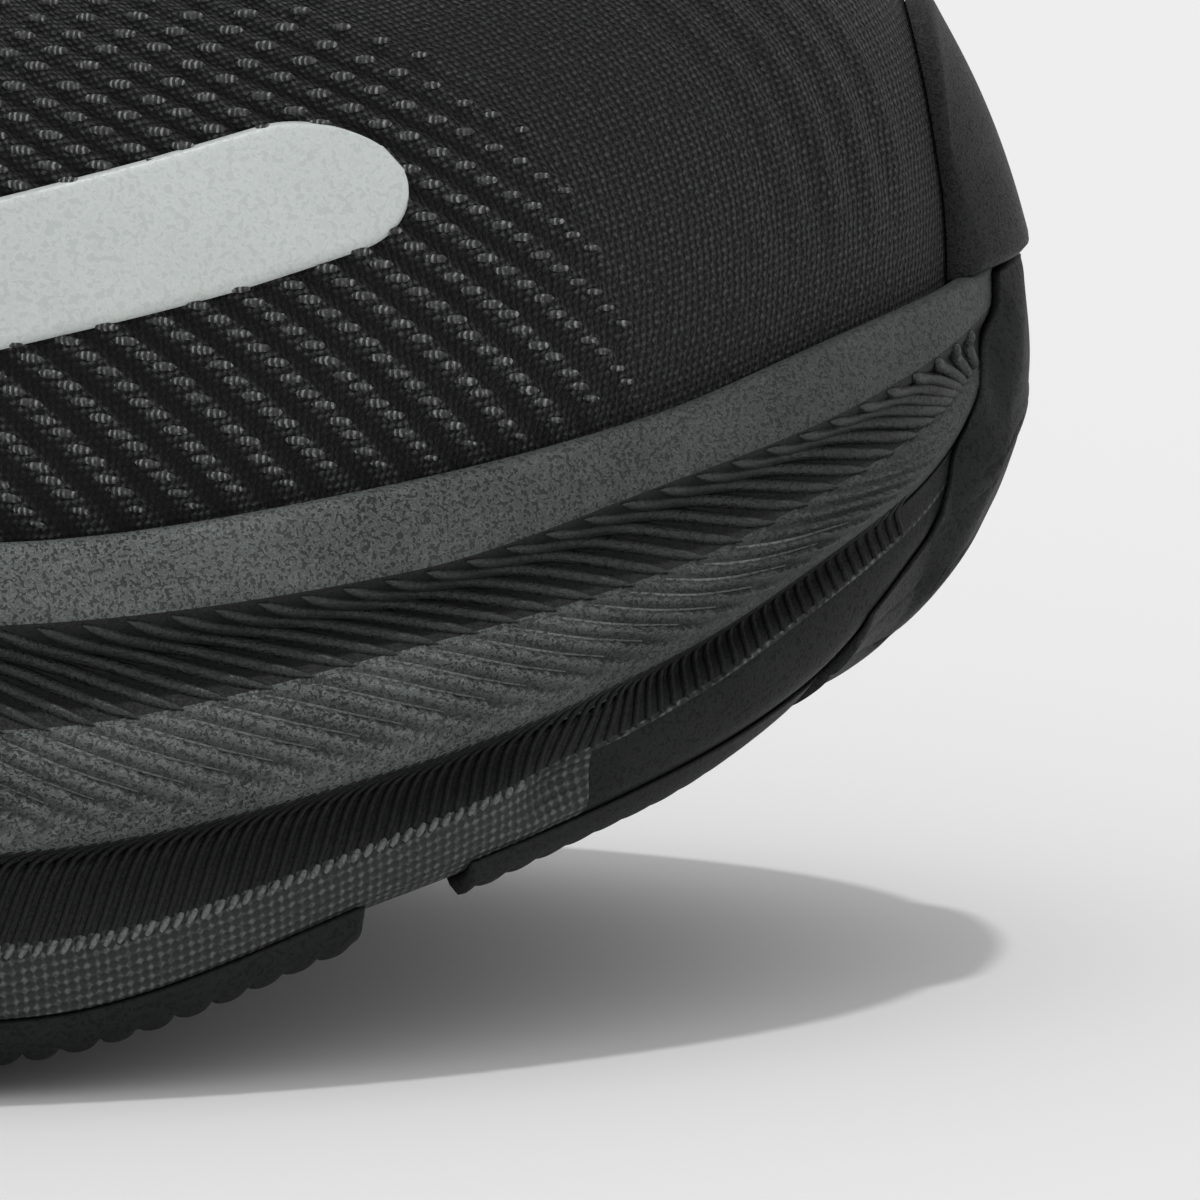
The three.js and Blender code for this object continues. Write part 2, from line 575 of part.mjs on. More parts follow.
// Height of the tongue's face over the middle of the shoe.
function tongueLine(x) {
  if (x > throatEnd.x - 6) return tongueLine(throatEnd.x - 6) - 0.3 * (x - throatEnd.x + 6);
  if (x > throatTop.x) return opening.getPoint(throatAt(x)).z - TONGUE_DROP;
  return throatTop.z - TONGUE_DROP + (throatTop.x - x) * throatSlope * 1.5;
}

// Layer of the tongue between two depths below its face, inset all round.
function tongueLayer(top, bottom, inset) {
  const grid = (depth) => steps(0, 1, 14).map((a) => steps(-1, 1, 8).map((b) => {
    const along = THREE.MathUtils.lerp(tongueBaseX, tongueTipX, a);
    const x = THREE.MathUtils.clamp(along, tongueTipX + inset, tongueBaseX - inset);
    const half = tongueHalf * (0.62 + 0.38 * smooth(a, 0, 0.6)) * (1 - 0.35 * smooth(a, 0.88, 1));
    const y = b * (half - inset);
    const fall = TONGUE_ARCH * y * y;
    return new THREE.Vector3(x, y, tongueLine(x) - fall - depth / Math.cos(Math.atan(throatSlope)));
  }));
  return shellBetween(grid(top), grid(bottom));
}

// ---------------------------------------------------------------- eyelets
const STAY_TOP = onSkin + OVERLAY; // depth of the eyestay's face
function eyeletPlace(row, medial) {
  const t = either(throatAt((FIRST_EYELET_X - row * EYELET_PITCH) * SX), medial);
  const v = fromEdge(t, EYELET_EDGE);
  return { t, v, centre: wallPoint(t, v), normal: wallNormal(t, v) };
}
const eyelets = steps(0, EYELET_ROWS - 1, EYELET_ROWS - 1)
  .map((row) => ({ lateral: eyeletPlace(row, false), medial: eyeletPlace(row, true) }));

// Turns a geometry made along Y to stand on the upper at an eyelet.
function stood(geometry, place) {
  const turn = new THREE.Quaternion().setFromUnitVectors(new THREE.Vector3(0, 1, 0), place.normal);
  return geometry.applyQuaternion(turn).translate(...place.centre.toArray());
}

function eyelet(place) {
  const outer = EYELET_BORE + EYELET_WALL;
  const seat = STAY_TOP + EYELET_SEAT;
  const crown = seat + EYELET_FLANGE_THICK;
  const profile = [
    [EYELET_BORE, SKIN], [outer, SKIN], [outer, seat], [outer + EYELET_FLANGE, seat],
    [outer + 0.75 * EYELET_FLANGE, crown], [EYELET_BORE, crown], [EYELET_BORE, SKIN],
  ].map(([r, y]) => new THREE.Vector2(r, y));
  return geometrySolid(stood(new THREE.LatheGeometry(profile, 10), place));
}

function punchEyelets(solid) {
  const radius = EYELET_BORE + EYELET_WALL + GAP;
  const places = eyelets.flatMap((row) => [row.lateral, row.medial]);
  return places.reduce((left, place) => {
    const hole = stood(new THREE.CylinderGeometry(radius, radius, 5 * KNIT, 10), place);
    return left.subtract(geometrySolid(hole));
  }, solid);
}

// ---------------------------------------------------------------- lace
// Closed tube along a smooth route.
function tube(points, radius, stepsPerPoint, sides = 8) {
  const ring = steps(0, 2 * Math.PI, sides).slice(0, -1)
    .map((a) => new THREE.Vector2(radius * Math.cos(a), radius * Math.sin(a)));
  const path = new THREE.CatmullRomCurve3(points, false, "centripetal");
  const geometry = new THREE.ExtrudeGeometry(new THREE.Shape(ring), {
    steps: (points.length - 1) * stepsPerPoint, extrudePath: path, bevelEnabled: false,
  });
  return geometrySolid(geometry);
}

// Lace's height over an eyelet.
const OVER = STAY_TOP + EYELET_SEAT + EYELET_FLANGE_THICK + LACE_CLEAR + LACE / 2;
const UNDER = SKIN - GAP - LACE / 2;
const at = (place, depth, v = place.v) => upperPoint(place.t, v, depth);
const edgeOf = (place, distance) => fromEdge(place.t, distance);

// One strand of the crossed lacing: up through each eyelet, over the flap's edge, across the
// tongue and under the other flap. rise lifts the strand that crosses on top.
function strand(startsMedial, rise) {
  const points = [];
  for (let row = 0; row < EYELET_ROWS; row += 1) {
    const here = eyelets[row][startsMedial === (row % 2 === 0) ? "medial" : "lateral"];
    points.push(at(here, UNDER * 0.6), at(here, 0), at(here, OVER * 0.9));
    if (row + 1 === EYELET_ROWS) break;
    const next = eyelets[row + 1][startsMedial === (row % 2 === 0) ? "lateral" : "medial"];
    const middle = here.centre.clone().lerp(next.centre, 0.5);
    points.push(
      at(here, OVER, edgeOf(here, 3.5)),
      at(here, OVER, edgeOf(here, 0.6)),
      middle.setZ(tongueLine(middle.x) + LACE / 2 + LACE_CLEAR + rise),
      at(next, UNDER, edgeOf(next, 1.5)),
      at(next, UNDER, edgeOf(next, EYELET_EDGE - 2)),
    );
  }
  return points;
}

// The end is carried over the top eyelet's flap and tucked down inside, beside the tongue.
function tuckedEnd(place) {
  const past = either(sideOf(place.t) + TUCK_BACK, place.t > 0.5);
  const crest = wallPoint(past, 1);
  crest.add(crest.clone().sub(wallPoint(past, 0.95)).setLength((LACE + KNIT) / 2 + 3 * LACE_CLEAR));
  return [at(place, OVER, edgeOf(place, 3.5)), at(place, OVER, edgeOf(place, 0.5)), crest,
    ...TUCK_LENGTHS.map((distance) => upperPoint(past, fromEdge(past, distance), UNDER))];
}

// Stiff tip that goes on from the lace's end, down inside the upper.
function aglet(place) {
  const past = either(sideOf(place.t) + TUCK_BACK, place.t > 0.5);
  const end = tuckedEnd(place).pop();
  const deeper = TUCK_LENGTHS[TUCK_LENGTHS.length - 1] + AGLET_LENGTH;
  const along = upperPoint(past, fromEdge(past, deeper), UNDER - AGLET_LEAN).sub(end).normalize();
  const from = end.clone().addScaledVector(along, GAP);
  return tube([from, from.clone().addScaledVector(along, AGLET_LENGTH)], LACE / 2 - AGLET_WALL, 1);
}

// Top eyelets of the strand that starts on the lateral side and of the other one.
const laceEnds = ["lateral", "medial"].map((start) => {
  const swaps = (EYELET_ROWS - 1) % 2 === 1;
  const other = start === "lateral" ? "medial" : "lateral";
  return eyelets[EYELET_ROWS - 1][swaps ? other : start];
});

// The whole lace, from one tucked end to the other by way of the bar under the front eyelets.
function lacePoints() {
  const front = eyelets[0];
  const lateral = strand(false, LACE + 2 * GAP);
  const medial = strand(true, 0);
  const bar = front.lateral.centre.clone().lerp(front.medial.centre, 0.5);
  bar.z = tongueLine(bar.x) + LACE / 2 + LACE_CLEAR;
  const [first, last] = laceEnds.map(tuckedEnd);
  return [...first.reverse(), ...lateral.reverse(), bar, ...medial, ...last];
}

// ---------------------------------------------------------------- pull loop at the heel
function pullLoop() {
  const foot = upperPoint(0.5, TAB_V, onSkin);
  const rise = upperPoint(0.5, 1, onSkin).sub(foot);
  const half = TAB_DEPTH / 2;
  const outlineOf = (grow) => {
    const r = half - TAB_WEBBING + grow;
    const shape = grow ? new THREE.Shape() : new THREE.Path();
    shape.absarc(0, TAB_HEIGHT - half, r, 0, Math.PI, false);
    shape.absarc(0, half, r, Math.PI, 2 * Math.PI, false);
    return shape;
  };
  const shape = outlineOf(TAB_WEBBING);
  shape.holes.push(outlineOf(0));
  const options = { depth: TAB_WIDTH, bevelEnabled: false, curveSegments: 8 };
  const geometry = new THREE.ExtrudeGeometry(shape, options);
  geometry.translate(0, 0, -TAB_WIDTH / 2).rotateX(Math.PI / 2);
  geometry.rotateY(Math.atan2(rise.x, rise.z)).translate(foot.x - half, 0, foot.z);
  return geometrySolid(geometry);
}

// ---------------------------------------------------------------- assembly
const finish = (color, roughness) => new THREE.MeshStandardMaterial({ color, roughness, metalness: 0 });
const finishes = {
  foam: finish(0x303433, 0.85),
  rubber: finish(0x1b1c1c, 0.7),
  knit: finish(0x1c1d1d, 0.9),
  overlay: finish(0x1a1b1b, 0.5),
  lining: finish(0x232424, 0.95),
  padding: finish(0x3a3c3c, 0.95),
  board: finish(0xb9b4a6, 0.9),
  plastic: finish(0x141515, 0.45),
  reflective: finish(0xbcc4c0, 0.35),
};

const shoe = new THREE.Group();
function addPiece(name, solid, material) {
  const mesh = new THREE.Mesh(geometryOf(solid), finishes[material]);
  mesh.name = name;
  shoe.add(mesh);
}

addPiece("midsole_carrier", carrierFoam(), "foam");
addPiece("midsole_base", baseFoam(), "foam");
addPiece("shank_plate", plate(PLATE_THICK, 0, 0), "plastic");
for (const [name, layout] of Object.entries(PADS)) addPiece(`outsole_${name}`, outsolePad(layout), "rubber");

addPiece("strobel_board", footbedLayer(() => GAP, GAP, GAP + STROBEL), "board");
// The sockliner's edge clears the lining and the counter above it, so that its heel lifts out.
const heelRoom = COUNTER + LINING + 2 * GAP;
const sockInset = (t) => SOCK_CLEAR + heelRoom * smooth(sideOf(t), SOCK_NARROWS, LINING_FROM);
const sockLow = 2 * GAP + STROBEL;
addPiece("sockliner_foam", footbedLayer(sockInset, sockLow, sockLow + SOCKLINER), "padding");
const coverLow = sockLow + SOCKLINER + GAP;
addPiece("sockliner_cover", footbedLayer(sockInset, coverLow, coverLow + SOCK_COVER), "lining");

const knitSkin = { around: true, low: () => 0, high: () => 1, outer: () => KNIT / 2, inner: () => -KNIT / 2 };
addPiece("upper_knit", punchEyelets(onUpper(knitSkin)), "knit");
addPiece("toe_bumper", toeBumper(), "overlay");
addPiece("toe_puff", toePuff(), "plastic");
addPiece("heel_clip", heelClip(), "overlay");
addPiece("heel_patch", heelPatch(), "reflective");
addPiece("heel_counter", heelCounter(), "plastic");
addPiece("collar_foam_lateral", collarFoam(COLLAR_FROM + 0.015, 0.455), "padding");
addPiece("collar_foam_heel", collarFoam(0.46, 0.54), "padding");
addPiece("collar_foam_medial", collarFoam(0.545, 1 - COLLAR_FROM - 0.015), "padding");
addPiece("collar_lining", collarLining(), "lining");
for (const [name, medial] of [["lateral", false], ["medial", true]]) {
  addPiece(`eyestay_${name}`, punchEyelets(eyestay(medial)), "overlay");
  addPiece(`strip_${name}`, reflectiveStrip(medial), "reflective");
  eyelets.forEach((row, i) => addPiece(`eyelet_${name}_${i + 1}`, eyelet(row[name]), "plastic"));
}

const foamTop = TONGUE_COVER + TONGUE_PLY_GAP;
const backTop = foamTop + TONGUE_FOAM + TONGUE_PLY_GAP;
addPiece("tongue_cover", tongueLayer(0, TONGUE_COVER, 0), "knit");
addPiece("tongue_foam", tongueLayer(foamTop, foamTop + TONGUE_FOAM, 1.5), "padding");
addPiece("tongue_backing", tongueLayer(backTop, backTop + LINING, 0), "lining");
addPiece("lace", tube(lacePoints(), LACE / 2, 2, 6), "knit");
laceEnds.forEach((place, i) => addPiece(`aglet_${i + 1}`, aglet(place), "plastic"));
addPiece("pull_loop", pullLoop(), "overlay");

const box = new THREE.Box3().setFromObject(shoe);
const middle = box.getCenter(new THREE.Vector3());
shoe.position.set(-middle.x, -middle.y, -box.min.z);

export default shoe;
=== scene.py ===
"""Looks of a right-foot running shoe: a ribbed foam sole under a knitted upper, in metres."""
import logging
import math
from dataclasses import dataclass, field
from enum import Enum
from typing import Callable, Optional, Sequence

import bmesh
import bpy
import numpy as np
from mathutils import Matrix, Vector


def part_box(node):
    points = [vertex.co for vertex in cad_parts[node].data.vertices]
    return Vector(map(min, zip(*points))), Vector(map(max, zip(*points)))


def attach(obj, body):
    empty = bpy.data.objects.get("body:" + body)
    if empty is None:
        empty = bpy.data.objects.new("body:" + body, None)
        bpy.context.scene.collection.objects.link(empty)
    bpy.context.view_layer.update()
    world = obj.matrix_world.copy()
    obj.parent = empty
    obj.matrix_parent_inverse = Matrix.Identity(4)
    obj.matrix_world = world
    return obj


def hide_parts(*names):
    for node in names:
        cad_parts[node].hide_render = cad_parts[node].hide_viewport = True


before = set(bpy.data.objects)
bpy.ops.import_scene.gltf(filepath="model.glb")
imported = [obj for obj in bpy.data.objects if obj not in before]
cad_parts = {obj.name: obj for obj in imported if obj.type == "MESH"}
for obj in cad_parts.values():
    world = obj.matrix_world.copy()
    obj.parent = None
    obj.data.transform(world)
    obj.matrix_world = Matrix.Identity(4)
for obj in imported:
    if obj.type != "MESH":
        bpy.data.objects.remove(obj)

LOG = logging.getLogger("shoe")
MM = 0.001
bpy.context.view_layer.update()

# ------------------------------------------------------------------ shape tables, in millimetres
# Outline of the sole at its widest level: x, lateral y, medial y, from toe to heel.
OUTLINE = (
    (150, 7, 7), (147, -7.5, 20), (138, -20.5, 32), (122, -33.5, 42.5), (100, -45, 49.5),
    (72, -52, 53), (40, -53.5, 51), (5, -49.5, 43.5), (-35, -45, 38), (-75, -44, 38.5),
    (-110, -41, 38.5), (-138, -28, 27), (-150, 0, 0),
)
# Edge of the throat and collar opening, for the same points: x, lateral y, medial y, z.
OPENING = (
    (66, 1, 1, 85.5), (65.2, -4, 5.5, 85.7), (62.5, -8, 9, 86.3), (58.5, -10.8, 12, 87.6),
    (52, -12.8, 14, 90.2), (40, -14.5, 15.5, 95.2), (24, -16.5, 17, 101.5), (4, -18.5, 19, 109),
    (-22, -22, 22.5, 118), (-54, -31.5, 30.5, 104), (-90, -35, 33, 96.5), (-122, -25, 24.5, 106),
    (-136, 0, 0, 118),
)
LEVEL_X = (150, 144, 137, 126, 107, 80, 40, 0, -50, -100, -130, -150)
# Height of each level of the sole along the shoe, from the lip's top to the foam's bottom.
LEVELS = (
    (50.6, 49.3, 47.4, 44.4, 41.3, 38.7, 38.5, 41, 46, 52, 55, 56),
    (48, 45.4, 43, 40.2, 35.6, 33.4, 33, 35, 39.5, 45, 48, 49.5),
    (46.6, 43.4, 40.6, 37.2, 32.8, 29.6, 29.2, 31, 35, 41, 44.5, 46.5),
    (45, 40.6, 37.6, 33.6, 29.8, 25.6, 25.4, 27, 31, 37, 41, 44),
    (44, 39.4, 36, 31.2, 26.4, 21.9, 21.4, 22.6, 26, 31, 36, 40),
    (43, 38, 34, 28.6, 22.8, 18.2, 17.4, 18, 19.5, 23, 27.5, 32),
    (42, 36.6, 32.4, 26.8, 20.6, 16.2, 15.2, 15.6, 16.4, 19, 23.5, 28.5),
    (41, 34.8, 30.5, 24.6, 17.5, 10.8, 10, 10.2, 11.5, 14.5, 19, 25),
    (40, 32.6, 26.2, 21, 14.6, 6.6, 5.6, 5.6, 5.8, 7, 10.5, 17),
    (31, 28, 23.6, 19.4, 13.6, 6, 4.9, 4.9, 5, 6, 9, 13.4),
    (23.5, 22.6, 20.6, 17.8, 12.7, 5.6, 4.4, 4.4, 4.5, 5.5, 8.2, 11),
    (19.6, 19.4, 18.6, 16.8, 12, 5.4, 4.2, 4.2, 4.2, 5.2, 7.8, 10),
)
# Levels that pieces meet at: the foam's widest, where its two halves part, the wall's foot and the bottom.
WIDEST, PARTING, WALL_FOOT, BOTTOM = 4.0, 6.0, 8.0, 11.0
# How far each level lies inside the outline.
INSETS = (
    (2.6, 3.6, 4.4, 4.6, 4.8, 5, 5, 5, 5, 5, 4.6, 4.4),
    (2.4, 2.4, 2.4, 2.4, 2.5, 2.6, 2.6, 2.6, 2.6, 2.6, 2.4, 2.2),
    (2.7, 3.6, 4.6, 5.2, 5.6, 5.6, 5.4, 5.2, 5, 4.8, 4.4, 4),
    (2.6, 2.2, 2, 1.8, 1.6, 1.4, 1.4, 1.4, 1.4, 1.4, 1.4, 1.4),
    (2.5, 1.3, 0.7, 0.3, 0, 0, 0, 0, 0, 0, 0, 0),
    (2.6, 1.8, 1.4, 1.2, 1.2, 1.2, 1.2, 1.2, 1.2, 1, 1, 1),
    (2.7, 2.6, 3.2, 3.6, 3.8, 3.8, 3.6, 3.4, 3.2, 3, 2.6, 2.4),
    (2.6, 2.2, 1.8, 1.3, 1, 0.9, 0.9, 1, 1, 1, 1.2, 1.6),
    (2.6, 2.6, 2.4, 2, 1.6, 1.4, 1.4, 1.5, 1.6, 1.8, 2.6, 4),
    (6.6, 6, 5, 3.4, 2.3, 1.9, 1.9, 2, 2.1, 2.6, 4.2, 6.4),
    (16, 13, 9.6, 5.6, 3.5, 2.9, 2.8, 2.9, 3, 3.8, 6.4, 9.4),
    (28, 23, 17, 9.6, 5.6, 4.6, 4.4, 4.6, 4.8, 6, 9.6, 13),
)
RUN_X = (150, 138, 122, 100, 72, 40, 5, -35, -75, -110, -138, -150)
START_UP = (38, 36, 33, 30, 28, 28, 29, 30, 22, 20, 22, 24)
END_OUT = (44, 40, 32, 24, 20, 18, 16, 13, 5, 2, 2, 2)
END_UP = (-9, -9, -10, -12, -14, -16, -18, -21, -24, -24, -26, -28)


def smooth(x: np.ndarray, a: float, b: float) -> np.ndarray:
    """Smooth step from 0 at a to 1 at b."""
    s = np.clip((np.asarray(x, float) - a) / (b - a), 0, 1)
    return s * s * (3 - 2 * s)


def keyed(xs: Sequence[float], values: Sequence[float]) -> Callable[[np.ndarray], np.ndarray]:
    """Makes a smooth function through keyed values that never overshoots them.

    Args:
        xs: the keys, in falling order.
        values: the value at each key.

    Returns:
        A function of an array of places along the shoe.
    """
    x = np.array(xs[::-1], float)
    y = np.array(values[::-1], float)
    slope = np.diff(y) / np.diff(x)
    before = np.concatenate(([slope[0]], slope))
    after = np.concatenate((slope, [slope[-1]]))
    with np.errstate(divide="ignore", invalid="ignore"):
        tangent = np.where(before * after <= 0, 0, 2 * before * after / (before + after))

    def at(place: np.ndarray) -> np.ndarray:
        p = np.clip(place, x[0], x[-1])
        i = np.clip(np.searchsorted(x, p, side="left") - 1, 0, len(x) - 2)
        h = x[i + 1] - x[i]
        s = (p - x[i]) / h
        value = (1 + 2 * s) * (1 - s) ** 2 * y[i] + s * s * (3 - 2 * s) * y[i + 1]
        return value + h * (s * (1 - s) ** 2 * tangent[i] + s * s * (s - 1) * tangent[i + 1])

    return at


def closed_curve(points: np.ndarray) -> Callable[[np.ndarray], np.ndarray]:
    """Makes a closed centripetal Catmull-Rom curve through points; its parameter runs 0 to 1."""
    count = len(points)

    def at(t: np.ndarray) -> np.ndarray:
        p = (np.asarray(t, float) % 1) * count
        i = np.floor(p).astype(int)
        w = (p - i)[..., None]
        p0, p1, p2, p3 = (points[(i + k) % count] for k in (-1, 0, 1, 2))
        d0, d1, d2 = (
            np.sqrt(np.linalg.norm(b - a, axis=-1, keepdims=True)) for a, b in ((p0, p1), (p1, p2), (p2, p3))
        )
        t1 = ((p1 - p0) / d0 - (p2 - p0) / (d0 + d1) + (p2 - p1) / d1) * d1
        t2 = ((p2 - p1) / d1 - (p3 - p1) / (d1 + d2) + (p3 - p2) / d2) * d1
        return p1 + t1 * w + (-3 * p1 + 3 * p2 - 2 * t1 - t2) * w**2 + (2 * p1 - 2 * p2 + t1 + t2) * w**3

    return at


def unit(v: np.ndarray) -> np.ndarray:
    """Vectors scaled to length 1."""
    return v / np.maximum(np.linalg.norm(v, axis=-1, keepdims=True), 1e-9)


def run_along(points: np.ndarray, axis: int) -> np.ndarray:
    """Distance run along a grid of points, from 0 at its first row or column."""
    steps = np.linalg.norm(np.diff(points, axis=axis), axis=2)
    start = np.zeros_like(np.take(steps, [0], axis=axis))
    return np.concatenate([start, np.cumsum(steps, axis=axis)], axis=axis)


@dataclass
class ShoeForm:
    """The shoe's surfaces, in millimetres: t runs round it, 0 at the toe and 0.5 at the heel."""

    knit: float = 2.2
    gap: float = 0.3
    lip_wall: float = 1.9
    lip_depth: float = 7.0
    lip_share: float = 0.1
    cad_stations: int = 72

    def __post_init__(self) -> None:
        """Builds the curves and finds the frame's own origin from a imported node."""
        def rounded(table: Sequence[Sequence[float]], flat: bool) -> np.ndarray:
            rows = [(r[0], r[1], 0 if flat else r[3]) for r in table]
            back = [(r[0], r[2], 0 if flat else r[3]) for r in table[1:-1]]
            return np.array(rows + back[::-1], float)

        self.outline = closed_curve(rounded(OUTLINE, True))
        self.opening = closed_curve(rounded(OPENING, False))
        self.heights = [keyed(LEVEL_X, row) for row in LEVELS]
        self.insets = [keyed(LEVEL_X, row) for row in INSETS]
        self.start_up, self.end_out, self.end_up = (keyed(RUN_X, row) for row in (START_UP, END_OUT, END_UP))
        fine = np.linspace(0, 1, 4001)
        steps = np.linalg.norm(np.diff(self.outline(fine), axis=0), axis=1)
        self.arc_t, self.arc_s = fine, np.concatenate(([0], np.cumsum(steps)))
        self.girth = float(self.arc_s[-1])
        ring = self.sole(np.arange(self.cad_stations) / self.cad_stations, np.full(self.cad_stations, WIDEST))
        corner = np.array([ring[:, 0].min(), ring[:, 1].min(), 0])
        self.shift = np.array(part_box("midsole_carrier")[0]) / MM - corner
        stations = np.arange(self.cad_stations) / self.cad_stations
        lowest = self.sole(stations, np.full(self.cad_stations, PARTING))[:, 2].min() + self.gap
        self.shift[2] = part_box("midsole_carrier")[0][2] / MM - lowest

    def arc(self, t: np.ndarray) -> np.ndarray:
        """Distance round the outline at t."""
        return np.interp(np.asarray(t) % 1, self.arc_t, self.arc_s)

    def at_arc(self, s: np.ndarray) -> np.ndarray:
        """t at a distance round the outline."""
        return np.interp(np.asarray(s) % self.girth, self.arc_s, self.arc_t)

    def x(self, t: np.ndarray) -> np.ndarray:
        """Place along the shoe of the outline at t."""
        return self.outline(t)[..., 0]

    def outward(self, t: np.ndarray) -> np.ndarray:
        """Outward direction of the outline in plan."""
        d = self.outline(np.asarray(t) + 0.004) - self.outline(np.asarray(t) - 0.004)
        return unit(np.stack([-d[..., 1], d[..., 0], 0 * d[..., 0]], -1))

    def plan(self, t: np.ndarray, inset: np.ndarray, z: np.ndarray) -> np.ndarray:
        """Point inside the outline by inset, at height z."""
        p = self.outline(t) - self.outward(t) * np.asarray(inset)[..., None]
        p[..., 2] = z
        return p

    def blended(self, keys: list, x: np.ndarray, level: np.ndarray) -> np.ndarray:
        """Value between the keyed levels, rounded over from one level to the next."""
        rows = np.stack([k(x) for k in keys])
        i = np.clip(np.floor(level).astype(int), 0, len(keys) - 2)
        f = level - i
        pick = lambda k: np.take_along_axis(rows, np.clip(i + k, 0, len(keys) - 1)[None], 0)[0]
        a, b, c, d = pick(-1), pick(0), pick(1), pick(2)
        low, high = (c - a) / 2, (d - b) / 2
        return b + low * f + (3 * (c - b) - 2 * low - high) * f**2 + (2 * (b - c) + low + high) * f**3

    def sole(self, t: np.ndarray, level: np.ndarray) -> np.ndarray:
        """Point on the sole's side at a level, from 0 at the lip's top down to BOTTOM."""
        t, level = np.broadcast_arrays(np.asarray(t, float), np.asarray(level, float))
        x = self.x(t)
        return self.plan(t, self.blended(self.insets, x, level), self.blended(self.heights, x, level))

    def lip_top(self, t: np.ndarray) -> np.ndarray:
        """Height of the lip's top at t."""
        return self.heights[0](self.x(t))

    def foot_inset(self, x: np.ndarray) -> np.ndarray:
        """How far the middle of the upper's wall lies inside the outline."""
        return self.insets[0](x) + self.lip_wall + self.gap + self.knit / 2

    def wall(self, t: np.ndarray, v: np.ndarray) -> np.ndarray:
        """Middle of the upper's wall, v from the footbed, 0, to the opening's edge, 1."""
        t, v = np.broadcast_arrays(np.asarray(t, float), np.asarray(v, float))
        x = self.x(t)
        top = self.lip_top(t)
        start = self.plan(t, self.foot_inset(x), top)
        end = self.opening(t)
        leave = start.copy()
        leave[..., 2] += self.start_up(x)
        arrive = end + self.outward(t) * self.end_out(x)[..., None]
        arrive[..., 2] += self.end_up(x)
        f = np.clip((v - self.lip_share) / (1 - self.lip_share), 0, 1.2)[..., None]
        curve = start * (1 - f) ** 3 + 3 * leave * f * (1 - f) ** 2 + 3 * arrive * f**2 * (1 - f) + end * f**3
        curve[..., 2] -= np.where(
            v < self.lip_share, (self.lip_depth - self.gap) * (1 - v / self.lip_share), 0,
        )
        return curve

    def wall_normal(self, t: np.ndarray, v: np.ndarray) -> np.ndarray:
        """Outward normal of the upper's wall."""
        t, v = np.broadcast_arrays(np.asarray(t, float), np.asarray(v, float))
        across = self.wall(t + 0.004, v) - self.wall(t - 0.004, v)
        low = np.where(v <= self.lip_share, 0, np.maximum(self.lip_share, v - 0.02))
        high = np.where(v <= self.lip_share, self.lip_share * 0.99, np.minimum(1, v + 0.02))
        return unit(np.cross(self.wall(t, high) - self.wall(t, low), across))

    def upper(self, t: np.ndarray, v: np.ndarray, depth: np.ndarray) -> np.ndarray:
        """Point of the upper's wall moved out by depth."""
        t, v = np.broadcast_arrays(np.asarray(t, float), np.asarray(v, float))
        return self.wall(t, v) + self.wall_normal(t, v) * np.broadcast_to(depth, t.shape)[..., None]

    def v_at_height(self, t: np.ndarray, z: np.ndarray) -> np.ndarray:
        """v at a height on the wall, for arrays of t and z."""
        v = np.linspace(0, 1, 201)
        t, z = np.broadcast_arrays(np.asarray(t, float), np.asarray(z, float))
        heights = self.wall(t.ravel()[:, None], v[None])[..., 2]
        return np.array([np.interp(want, h, v) for want, h in zip(z.ravel(), heights)]).reshape(t.shape)

    def v_from_edge(self, t: np.ndarray, distance: float) -> np.ndarray:
        """v at a distance in from the opening's edge."""
        v = np.linspace(0.3, 1, 281)
        t = np.asarray(t, float)
        p = self.wall(t.ravel()[:, None], v[None])
        d = np.linalg.norm(p - p[:, -1:], axis=2)
        return np.array([np.interp(-distance, -row, v) for row in d]).reshape(t.shape)

    def placed(self, p: np.ndarray) -> np.ndarray:
        """Millimetres of the shape tables turned to metres of the frame."""
        return (p + self.shift) * MM


FORM = ShoeForm()


# ------------------------------------------------------------------ meshes
def tidy(obj: bpy.types.Object, shade_smooth: bool = True) -> bpy.types.Object:
    """Merges doubles, turns faces outwards and shades a piece.

    Args:
        obj: the piece.
        shade_smooth: whether faces are shaded smooth.

    Returns:
        The same piece.
    """
    work = bmesh.new()
    work.from_mesh(obj.data)
    bmesh.ops.remove_doubles(work, verts=work.verts, dist=1e-6)
    bmesh.ops.recalc_face_normals(work, faces=work.faces)
    if work.calc_volume(signed=True) < 0:
        bmesh.ops.reverse_faces(work, faces=work.faces)
    work.to_mesh(obj.data)
    work.free()
    obj.data.polygons.foreach_set("use_smooth", np.full(len(obj.data.polygons), shade_smooth))
    obj.data.update()
    return obj


def mesh_object(
    name: str, points: np.ndarray, faces: np.ndarray,
    uv: Optional[np.ndarray] = None, shade: Optional[np.ndarray] = None,
) -> bpy.types.Object:
    """Makes a mesh object.

    Args:
        name: the piece's name.
        points: its points, in metres.
        faces: four point numbers a face.
        uv: one pair for each point, in millimetres along the surface.
        shade: painted light and shade of the surface at each point, 1 where none is painted.

    Returns:
        The new object, in the scene.
    """
    mesh = bpy.data.meshes.new(name)
    mesh.vertices.add(len(points))
    mesh.vertices.foreach_set("co", np.ascontiguousarray(points, dtype=np.float32).ravel())
    mesh.loops.add(faces.size)
    mesh.loops.foreach_set("vertex_index", faces.ravel().astype(np.int32))
    mesh.polygons.add(len(faces))
    mesh.polygons.foreach_set("loop_start", np.arange(len(faces), dtype=np.int32) * faces.shape[1])
    if uv is not None:
        layer = mesh.uv_layers.new(name="surface")
        layer.data.foreach_set("uv", uv[faces.ravel()].astype(np.float32).ravel())
    if shade is not None:
        mesh.attributes.new("shade", "FLOAT", "POINT").data.foreach_set(
            "value", shade.astype(np.float32).ravel(),
        )
    mesh.update(calc_edges=True)
    mesh.validate()
    obj = bpy.data.objects.new(name, mesh)
    bpy.context.scene.collection.objects.link(obj)
    return obj


